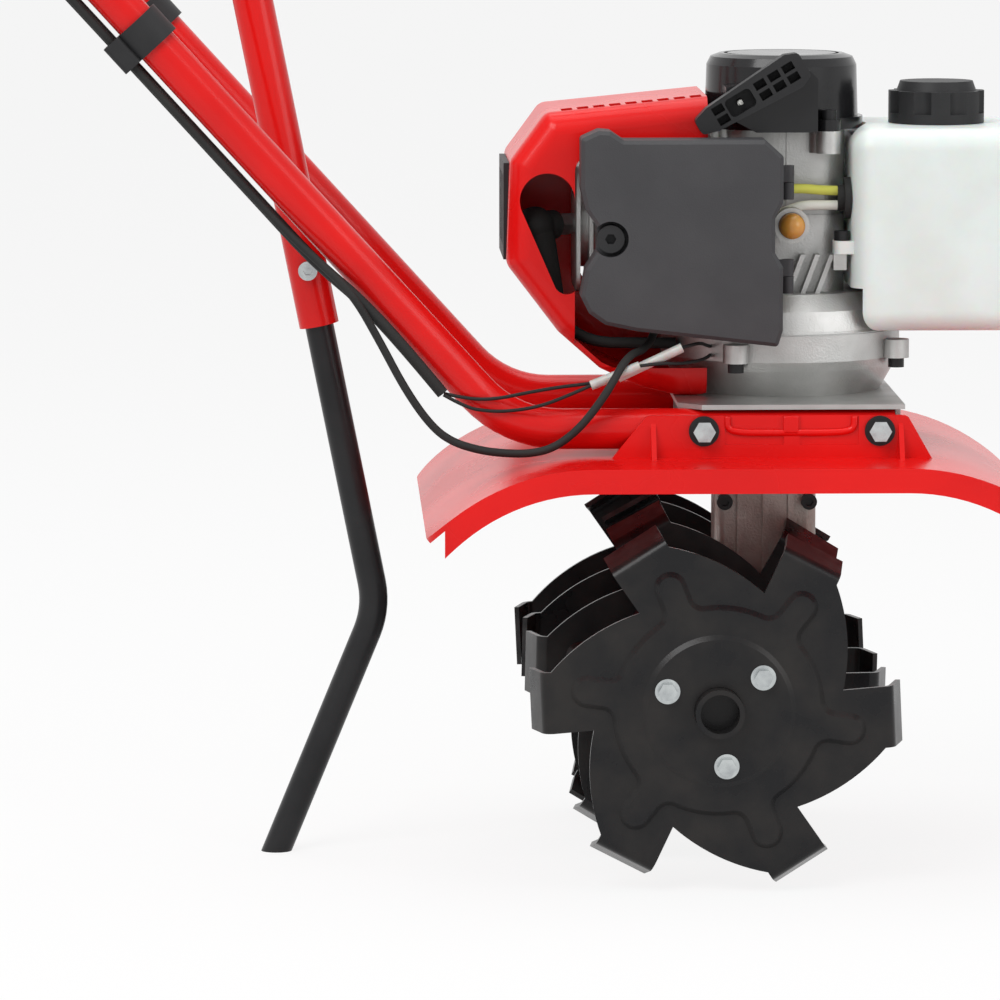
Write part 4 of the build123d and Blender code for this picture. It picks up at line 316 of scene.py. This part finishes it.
def surface(name: str, points: np.ndarray, finish: Finish) -> bpy.types.Object:
    """A mesh from a grid of points that closes round its second direction, with both ends capped.

    Args:
        name: the piece's name.
        points: rings by points by three, in metres.
        finish: the surface.

    Returns:
        The piece's object.
    """
    rings, around = points.shape[:2]
    index = np.arange(rings * around).reshape(rings, around)
    turn = np.roll(index, -1, axis=1)
    quads = np.stack([index[:-1], turn[:-1], turn[1:], index[1:]], axis=-1).reshape(-1, 4)
    caps = [index[0][::-1].tolist(), index[-1].tolist()]
    mesh = bpy.data.meshes.new(name)
    mesh.from_pydata(points.reshape(-1, 3).tolist(), [], quads.tolist() + caps)
    mesh.polygons.foreach_set("use_smooth", np.ones(len(mesh.polygons), dtype=bool))
    mesh.materials.append(finish.material())
    piece = bpy.data.objects.new(name, mesh)
    bpy.context.scene.collection.objects.link(piece)
    log.info("made %s with %d faces", name, len(mesh.polygons))
    return piece


def spots_of(node: str) -> np.ndarray:
    """The corners of a solid's mesh.

    Args:
        node: the solid's name.

    Returns:
        Points by three, in metres.
    """
    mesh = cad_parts[node].data
    spots = np.empty(len(mesh.vertices) * 3, dtype=np.float32)
    mesh.vertices.foreach_get("co", spots)
    return spots.reshape(-1, 3)


def evenly(line: np.ndarray, count: int) -> np.ndarray:
    """A line of points spaced evenly along its length.

    Args:
        line: points by two.
        count: how many points to give.

    Returns:
        The new points, with the same two ends.
    """
    length = np.concatenate([[0.0], np.cumsum(np.linalg.norm(np.diff(line, axis=0), axis=1))])
    steps = np.linspace(0, length[-1], count)
    return np.stack([np.interp(steps, length, line[:, k]) for k in (0, 1)], -1)


@dataclass
class Studio:
    """Camera at the photograph's place, soft lamps, pale floor and white surroundings."""

    eye: Point = (0.0514, -4.0, 0.7218)
    aim: Point = (0.03155, 1.0, -0.1246)
    lens_mm: float = 230.1
    clip_m: float = 200.0
    lit: Point = (0.1, 0.0, 0.3)
    floor_half: float = 40.0
    floor_tone: float = 0.86
    floor_roughness: float = 0.9
    floor_glow: float = 0.86
    light_level: float = 0.36
    lamps: list[tuple[str, Point, float, float]] = field(default_factory=lambda: [
        ("key", (-1.2, -2.2, 2.6), 1.8, 66.0),
        ("fill", (2.4, -1.8, 1.4), 1.6, 20.0),
        ("top", (0.2, 0.4, 3.0), 2.4, 38.0),
    ])

    def build(self) -> None:
        """Makes the camera, lamps, floor and world."""
        self.camera()
        for name, place, size, power in self.lamps:
            self.lamp(name, place, size, power)
        self.floor()
        self.world()
        bpy.context.scene.view_settings.view_transform = "Standard"

    def camera(self) -> None:
        """A long lens far off, turned to the middle of the photograph's frame."""
        data = bpy.data.cameras.new("camera")
        data.lens = self.lens_mm
        data.clip_end = self.clip_m
        eye = bpy.data.objects.new("camera", data)
        eye.location = self.eye
        eye.rotation_euler = Vector(self.aim).to_track_quat("-Z", "Y").to_euler()
        bpy.context.scene.collection.objects.link(eye)
        bpy.context.scene.camera = eye

    def lamp(self, name: str, place: Point, size: float, power: float) -> None:
        """A square soft lamp turned to the machine's middle.

        Args:
            name: the lamp's name.
            place: where it stands, in metres.
            size: side of the square, in metres.
            power: watts.
        """
        data = bpy.data.lights.new(name, "AREA")
        data.size = size
        data.energy = power
        piece = bpy.data.objects.new(name, data)
        piece.location = place
        piece.rotation_euler = (Vector(self.lit) - Vector(place)).to_track_quat("-Z", "Y").to_euler()
        bpy.context.scene.collection.objects.link(piece)

    def floor(self) -> None:
        """A wide pale plane that keeps the shadow and glows a little towards the camera."""
        half = self.floor_half
        mesh = bpy.data.meshes.new("floor")
        mesh.from_pydata([(-half, -half, 0), (half, -half, 0), (half, half, 0), (-half, half, 0)], [], [(0, 1, 2, 3)])
        made = bpy.data.materials.new("pale_floor")
        made.use_nodes = True
        nodes, links = made.node_tree.nodes, made.node_tree.links
        shader = nodes["Principled BSDF"]
        shader.inputs["Base Color"].default_value = (*[self.floor_tone] * 3, 1)
        shader.inputs["Roughness"].default_value = self.floor_roughness
        glow = nodes.new("ShaderNodeEmission")
        share = nodes.new("ShaderNodeMath")
        share.operation = "MULTIPLY"
        share.inputs[1].default_value = self.floor_glow
        links.new(seen_ray(nodes, links), share.inputs[0])
        both = nodes.new("ShaderNodeMixShader")
        links.new(share.outputs["Value"], both.inputs[0])
        links.new(shader.outputs[0], both.inputs[1])
        links.new(glow.outputs[0], both.inputs[2])
        links.new(both.outputs[0], nodes["Material Output"].inputs["Surface"])
        mesh.materials.append(made)
        piece = bpy.data.objects.new("floor", mesh)
        bpy.context.scene.collection.objects.link(piece)

    def world(self) -> None:
        """White where it is seen or mirrored, a plain soft grey as light."""
        made = bpy.data.worlds.new("surroundings")
        bpy.context.scene.world = made
        made.use_nodes = True
        nodes, links = made.node_tree.nodes, made.node_tree.links
        back = nodes["Background"]
        back.inputs["Color"].default_value = (1, 1, 1, 1)
        level = nodes.new("ShaderNodeMapRange")
        level.inputs["To Min"].default_value = self.light_level
        level.inputs["To Max"].default_value = 1.0
        links.new(seen_ray(nodes, links), level.inputs["Value"])
        links.new(level.outputs["Result"], back.inputs["Strength"])


def seen_ray(nodes: Nodes, links: Links) -> Socket:
    """One for rays from the camera, a mirror or glass, and nought for the rest.

    Args:
        nodes: the tree's nodes.
        links: the tree's links.

    Returns:
        The socket of the value.
    """
    path = nodes.new("ShaderNodeLightPath")
    value = path.outputs["Is Camera Ray"]
    for other in ("Is Glossy Ray", "Is Transmission Ray"):
        larger = nodes.new("ShaderNodeMath")
        larger.operation = "MAXIMUM"
        links.new(value, larger.inputs[0])
        links.new(path.outputs[other], larger.inputs[1])
        value = larger.outputs["Value"]
    return value


@dataclass
class Cord:
    """A held cord that follows one smooth spline over its route's points."""

    name: str
    node: str
    radius_mm: float
    length_mm: float
    finish: Finish
    slot: str
    route: list[Point]

    def build(self) -> None:
        """Makes the curve and hides the solid that it stands for."""
        data = bpy.data.curves.new(self.name, "CURVE")
        data.dimensions = "3D"
        data.bevel_depth = self.radius_mm * MM
        data.bevel_resolution = 4
        data.resolution_u = 10
        data.use_fill_caps = True
        points = [placed(p) for p in self.route]
        line = data.splines.new("NURBS")
        line.points.add(len(points) - 1)
        line.points.foreach_set("co", np.column_stack([points, np.ones(len(points))]).ravel())
        line.order_u = 3
        line.use_endpoint_u = True
        data.materials.append(self.finish.material())
        piece = bpy.data.objects.new(self.name, data)
        bpy.context.scene.collection.objects.link(piece)
        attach(piece, "machine")
        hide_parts(self.node)
        log.info("laid %s", self.name)


@dataclass
class Controls:
    """Throttle and stop switch at the handle, with the cable, conduit and wires down to the engine."""

    cable_r: float = 2.5
    cable_mm: float = 982
    conduit_r: float = 3.7
    conduit_mm: float = 730
    wire_r: float = 1.1
    throttle_route: list[Point] = field(default_factory=lambda: [
        (-664.4, -196.3, 700.3), (-601.4, -181.6, 663.4), (-463.0, -119.7, 511.8), (-420.4, -104.5, 461.9),
        (-282.0, -104.5, 310.3), (-262.0, -111.0, 289.0), (-239.0, -117.0, 268.0), (-221.4, -119.0, 251.0),
        (-205.5, -119.0, 222.8), (-190.2, -119.0, 193.5), (-174.9, -119.0, 171.4), (-162.1, -119.0, 161.0),
        (-144.3, -119.0, 155.5), (-129.6, -119.0, 153.7), (-114.3, -119.0, 153.3), (-99.0, -119.0, 156.7),
        (-83.7, -119.0, 168.4), (-70.2, -119.0, 185.5), (-62.0, -117.0, 198.5), (-56.0, -110.0, 208.5),
        (-49.5, -98.5, 213.0), (-44.0, -89.0, 213.2), (-38.0, -77.0, 217.5), (-33.0, -68.0, 228.0),
        (-30.0, -64.5, 247.0), (-30.0, -64.5, 268.0),
    ])
    conduit_route: list[Point] = field(default_factory=lambda: [
        (-665.8, -187.4, 700.3), (-605.1, -173.4, 663.4), (-466.7, -111.5, 511.8), (-420.4, -95.5, 461.9),
        (-282.0, -95.5, 310.3), (-250.0, -102.0, 275.5), (-233.0, -108.0, 260.5), (-219.5, -113.0, 249.5),
        (-193.7, -113.0, 222.5), (-167.0, -113.0, 190.0),
    ])
    wire_routes: list[tuple[float, list[Point]]] = field(default_factory=lambda: [
        (96, [(-166.5, -114.6, 189.4), (-153.0, -115.0, 181.5), (-139.3, -115.0, 179.2), (-126.5, -115.0, 179.1),
              (-109.3, -114.0, 181.5), (-94.0, -111.0, 186.4), (-76.0, -108.0, 194.0)]),
        (110, [(-166.2, -111.6, 189.8), (-155.0, -112.8, 187.4), (-144.2, -114.5, 186.4), (-132.6, -115.0, 187.0),
               (-114.2, -113.0, 190.5), (-94.0, -109.0, 193.5), (-74.0, -103.5, 195.0), (-59.0, -101.0, 198.0)]),
        (73, [(-46.0, -108.0, 206.0), (-34.0, -106.0, 207.5), (-20.0, -97.0, 206.0), (-8.0, -82.0, 206.5),
              (-2.0, -68.0, 207.0), (0.2, -58.2, 207.5)]),
        (48, [(-19.6, -101.0, 216.5), (-11.0, -92.0, 218.0), (-6.0, -80.0, 217.0), (-2.5, -68.0, 214.5),
              (0.2, -58.2, 213.0)]),
    ])

    def build(self) -> None:
        """Lays the cords and dresses the switch gear."""
        Cord("throttle_cable_jacket", "throttle_cable", self.cable_r, self.cable_mm, RUBBER, "rubber",
             self.throttle_route).build()
        Cord("wire_conduit_jacket", "wire_conduit", self.conduit_r, self.conduit_mm, RUBBER, "rubber",
             self.conduit_route).build()
        for number, (length, route) in enumerate(self.wire_routes, 1):
            Cord(f"switch_wire_{number}", "switch_wires", self.wire_r, length, RUBBER, "rubber", route).build()
        dress(BLACK, "cable_clips", "throttle_housing", "throttle_lever")
        dress(RED, "stop_switch")
        dress(SLEEVE, "wire_connectors")


@dataclass
class FuelSystem:
    """White tank with its cap, grommet and the two hoses to the carburettor."""

    hose_r: float = 3.0
    fuel_mm: float = 92
    return_mm: float = 96
    fuel_route: list[Point] = field(default_factory=lambda: [
        (85.0, -44.0, 308.5), (73.0, -44.0, 308.5), (57.0, -49.0, 310.5), (40.0, -56.0, 310.0),
        (25.0, -62.0, 304.0), (12.0, -64.0, 300.0), (-1.0, -64.0, 300.0),
    ])
    return_route: list[Point] = field(default_factory=lambda: [
        (85.0, -44.0, 299.5), (73.0, -44.0, 299.5), (57.0, -49.0, 300.0), (42.0, -53.0, 294.5),
        (29.0, -56.0, 285.5), (14.0, -57.5, 276.0), (-1.0, -57.5, 276.0),
    ])

    def build(self) -> None:
        """Lays both hoses and dresses the tank."""
        Cord("fuel_hose", "fuel_line", self.hose_r, self.fuel_mm, FUEL_HOSE, "hose_yellow", self.fuel_route).build()
        Cord("return_hose", "return_line", self.hose_r, self.return_mm, CLEAR_HOSE, "hose_clear",
             self.return_route).build()
        dress(TANK, "fuel_tank")
        dress(BLACK, "fuel_cap")
        dress(RUBBER, "tank_grommet")


@dataclass
class Starter:
    """Recoil starter: gloss cover, grip and the rope that draws out of it."""

    strands: int = 3
    rope_r_mm: float = 1.65
    swell_mm: float = 0.22
    lay_mm: float = 9.0
    rings: int = 220
    around: int = 18

    def build(self) -> None:
        """Dresses the cover and grip, and makes the rope."""
        dress(GLOSS, "starter_cover")
        dress(BLACK, "starter_handle", "starter_pulley")
        self.rope()

    def rope(self) -> None:
        """A laid rope: at each step along it the radius swells by the cosine of strands times angle plus lay turn."""
        low, high = (np.array(c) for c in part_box("starter_rope"))
        middle = (low + high) / 2
        along = np.linspace(high[1], low[1], self.rings)[:, None]
        angle = np.linspace(0, 2 * np.pi, self.around, endpoint=False)[None, :]
        twist = 2 * np.pi * along / (self.lay_mm * MM)
        radius = self.rope_r_mm * MM + self.swell_mm * MM * np.cos(self.strands * angle + twist)
        points = np.stack([
            middle[0] + radius * np.cos(angle),
            along + 0 * angle,
            middle[2] + radius * np.sin(angle),
        ], -1)
        piece = surface("starter_rope_strands", points, ROPE)
        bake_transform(piece)
        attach(piece, "machine")
        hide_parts("starter_rope")


@dataclass
class FilterFoam:
    """Foam block of the air filter, softly rounded, seen when the cover is open."""

    node: str = "air_filter_element"
    edge_mm: float = 5.0
    around: int = 300
    soften: int = 3
    turns: int = 9
    level_m: float = 1e-5

    def build(self) -> None:
        """Sets the outline in along its own normal by one minus the cosine of an angle, while the depth follows one
        minus the sine, so that the near edge is a quarter round; the sides run straight back."""
        low, high = (np.array(c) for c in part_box(self.node))
        outline = self.outline(low[1])
        ahead = np.roll(outline, -1, axis=0) - np.roll(outline, 1, axis=0)
        inward = np.stack([-ahead[:, 1], ahead[:, 0]], -1) / np.linalg.norm(ahead, axis=1, keepdims=True)
        angle = np.linspace(0, np.pi / 2, self.turns)
        edge = self.edge_mm * MM
        inset = np.concatenate([[0.0], edge * (1 - np.cos(angle))])
        depth = np.concatenate([[high[1]], low[1] + edge * (1 - np.sin(angle))])
        flat = outline[None] + inset[:, None, None] * inward[None]
        points = np.stack([flat[..., 0], depth[:, None] + 0 * flat[..., 0], flat[..., 1]], -1)
        piece = surface("filter_foam_block", points, FOAM)
        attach(piece, "machine")
        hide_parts(self.node)

    def outline(self, near: float) -> np.ndarray:
        """The outline of the solid's near face, spaced evenly, turned left about and softened by a running mean.

        Args:
            near: the face's place across the machine, in metres.

        Returns:
            Points by two, forward and up, in metres.
        """
        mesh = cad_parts[self.node].data
        spots = np.round(spots_of(self.node).astype(float), 6)
        rim: set[tuple[Point, Point]] = set()
        for face in mesh.polygons:
            corners = [tuple(spots[i]) for i in face.vertices]
            if all(abs(c[1] - near) < self.level_m for c in corners):
                for start, end in zip(corners, corners[1:] + corners[:1]):
                    if (end, start) in rim:
                        rim.remove((end, start))
                    else:
                        rim.add((start, end))
        follows = dict(rim)
        walk = [min(follows)]
        while follows[walk[-1]] != walk[0]:
            walk.append(follows[walk[-1]])
        line = evenly(np.array(walk + walk[:1])[:, [0, 2]], self.around + 1)[:-1]
        turned = np.roll(line, -1, axis=0)
        if np.sum(line[:, 0] * turned[:, 1] - turned[:, 0] * line[:, 1]) < 0:
            line = line[::-1]
        return np.mean([np.roll(line, k, axis=0) for k in range(-self.soften, self.soften + 1)], axis=0)


@dataclass
class Engine:
    """Upright two-stroke with its cowl, filter box and ignition."""

    lead_r: float = 3.5
    lead_mm: float = 90
    lead_route: list[Point] = field(default_factory=lambda: [
        (-94.4, -32.3, 239.6), (-90.9, -32.8, 227.2), (-81.5, -33.5, 218.5), (-68.0, -35.0, 213.5),
        (-50.0, -36.0, 213.0), (-19.8, -36.0, 213.0),
    ])

    def build(self) -> None:
        """Lays the plug lead and dresses the engine's solids."""
        Cord("plug_lead_jacket", "plug_lead", self.lead_r, self.lead_mm, RUBBER, "rubber", self.lead_route).build()
        dress(CAST, "fan_housing", "crankcase", "cylinder", "carburetor", "flywheel")
        dress(RED, "engine_cowl")
        dress(BLACK, "rear_vent", "intake_spacer", "cover_knob")
        dress(GREY, "air_filter_case", "air_filter_cover")
        FilterFoam().build()
        dress(AMBER, "primer_bulb")
        dress(RUBBER, "plug_cap")
        dress(SCORCHED, "muffler")
        dress(TUBE, "socket_screws")
        dress(STEEL, "spark_plug", "worm_shaft", "clutch_drum", "clutch_shoes")


@dataclass
class RunningGear:
    """Tine rotor, gearbox, fender and the handle frame."""

    rib_r_mm: float = 2.2
    rib_sunk_mm: float = 0.8
    rib_top_mm: float = 9.0
    rib_drop_mm: float = 1.2
    rib_ends: tuple[float, float] = (0.14, 0.85)
    post_half_mm: float = 4.7
    post_mm: float = 1.5
    flange_half_m: float = 0.012
    curve_steps: int = 400
    lip_rings: int = 90
    post_rings: int = 12
    around: int = 24

    def build(self) -> None:
        """Dresses the rotor and the frame, and adds the fender's moulded ribs."""
        self.flange_ribs()
        dress(TINE, "tine_disc_outer_right", "tine_disc_inner_right", "tine_disc_inner_left", "tine_disc_outer_left",
              "tine_hub_right", "tine_hub_left", "tine_shaft")
        dress(STEEL, "gearbox_bearings")
        dress(BRONZE, "worm_wheel")
        dress(ZINC, "tine_bolts", "handle_bolts", "stake_bolt")
        dress(GEARBOX, "gearbox_right", "gearbox_left")
        dress(PLATE, "base_plate")
        dress(RED, "fender")
        dress(RED_TUBE, "handle_tubes", "center_tube", "cross_brace")
        dress(TUBE, "handle_washers", "stake")
        dress(RUBBER, "grips")

    def flange_ribs(self) -> None:
        """On each fender flange a lip follows the lower half of a superellipse between the bolts, with a round
        section cut flat inside the flange, and a post of superelliptic section stands up its middle."""
        low, high = (np.array(c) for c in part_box("handle_bolts"))
        spots = spots_of("fender")
        level, head = (low[2] + high[2]) / 2, (high[2] - low[2]) / 2
        near = (np.abs(spots[:, 2] - level) < self.flange_half_m) & (spots[:, 0] > low[0]) & (spots[:, 0] < high[0])
        first, span = low[0] + head, high[0] - low[0] - 2 * head
        middle, half = first + span * np.mean(self.rib_ends), span * np.ptp(self.rib_ends) / 2
        top, bottom = level + self.rib_top_mm * MM, level - self.rib_drop_mm * MM
        turn = np.linspace(np.pi, 0, self.curve_steps)
        curve = np.stack([
            middle + half * self.squared(np.cos(turn)),
            top - (top - bottom) * self.squared(np.sin(turn)),
        ], -1)
        line = evenly(curve, self.lip_rings)
        tangent = np.gradient(line, axis=0)
        tangent /= np.linalg.norm(tangent, axis=1, keepdims=True)
        angle = np.linspace(0, 2 * np.pi, self.around, endpoint=False)[None, :]
        radius, sunk = self.rib_r_mm * MM, self.rib_sunk_mm * MM
        height = np.linspace(bottom, top, self.post_rings)[:, None]
        for side, name in ((-1, "right"), (1, "left")):
            face = side * np.max(side * spots[near, 1])
            lip = np.stack([
                line[:, :1] - tangent[:, 1:] * radius * np.cos(angle),
                face + side * np.maximum(radius * np.sin(angle) - sunk, -sunk) + 0 * line[:, :1],
                line[:, 1:] + tangent[:, :1] * radius * np.cos(angle),
            ], -1)
            post = np.stack([
                middle + self.post_half_mm * MM * self.squared(np.cos(angle)) + 0 * height,
                face + side * np.maximum(self.post_mm * MM * self.squared(np.sin(angle)), -sunk) + 0 * height,
                height + 0 * angle,
            ], -1)
            lip, post = (lip, post[:, ::-1]) if side < 0 else (lip[:, ::-1], post)
            for shape, points in (("rib", lip), ("post", post)):
                piece = surface(f"fender_{shape}_{name}", points, RED)
                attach(piece, "machine")

    @staticmethod
    def squared(wave: np.ndarray) -> np.ndarray:
        """A sine or cosine pushed out towards one, as a superellipse of power six does.

        Args:
            wave: values from minus one to one.

        Returns:
            The cube root of each value, with its sign.
        """
        return np.sign(wave) * np.abs(wave) ** (1 / 3)


def main() -> None:
    """Builds the studio and every sub-assembly in order."""
    logging.basicConfig(level=logging.INFO, format="%(message)s")
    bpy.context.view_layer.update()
    for part in (Studio(), Controls(), FuelSystem(), Engine(), Starter(), RunningGear()):
        part.build()
        log.info("built %s", type(part).__name__)


if __name__ == "__main__":
    main()
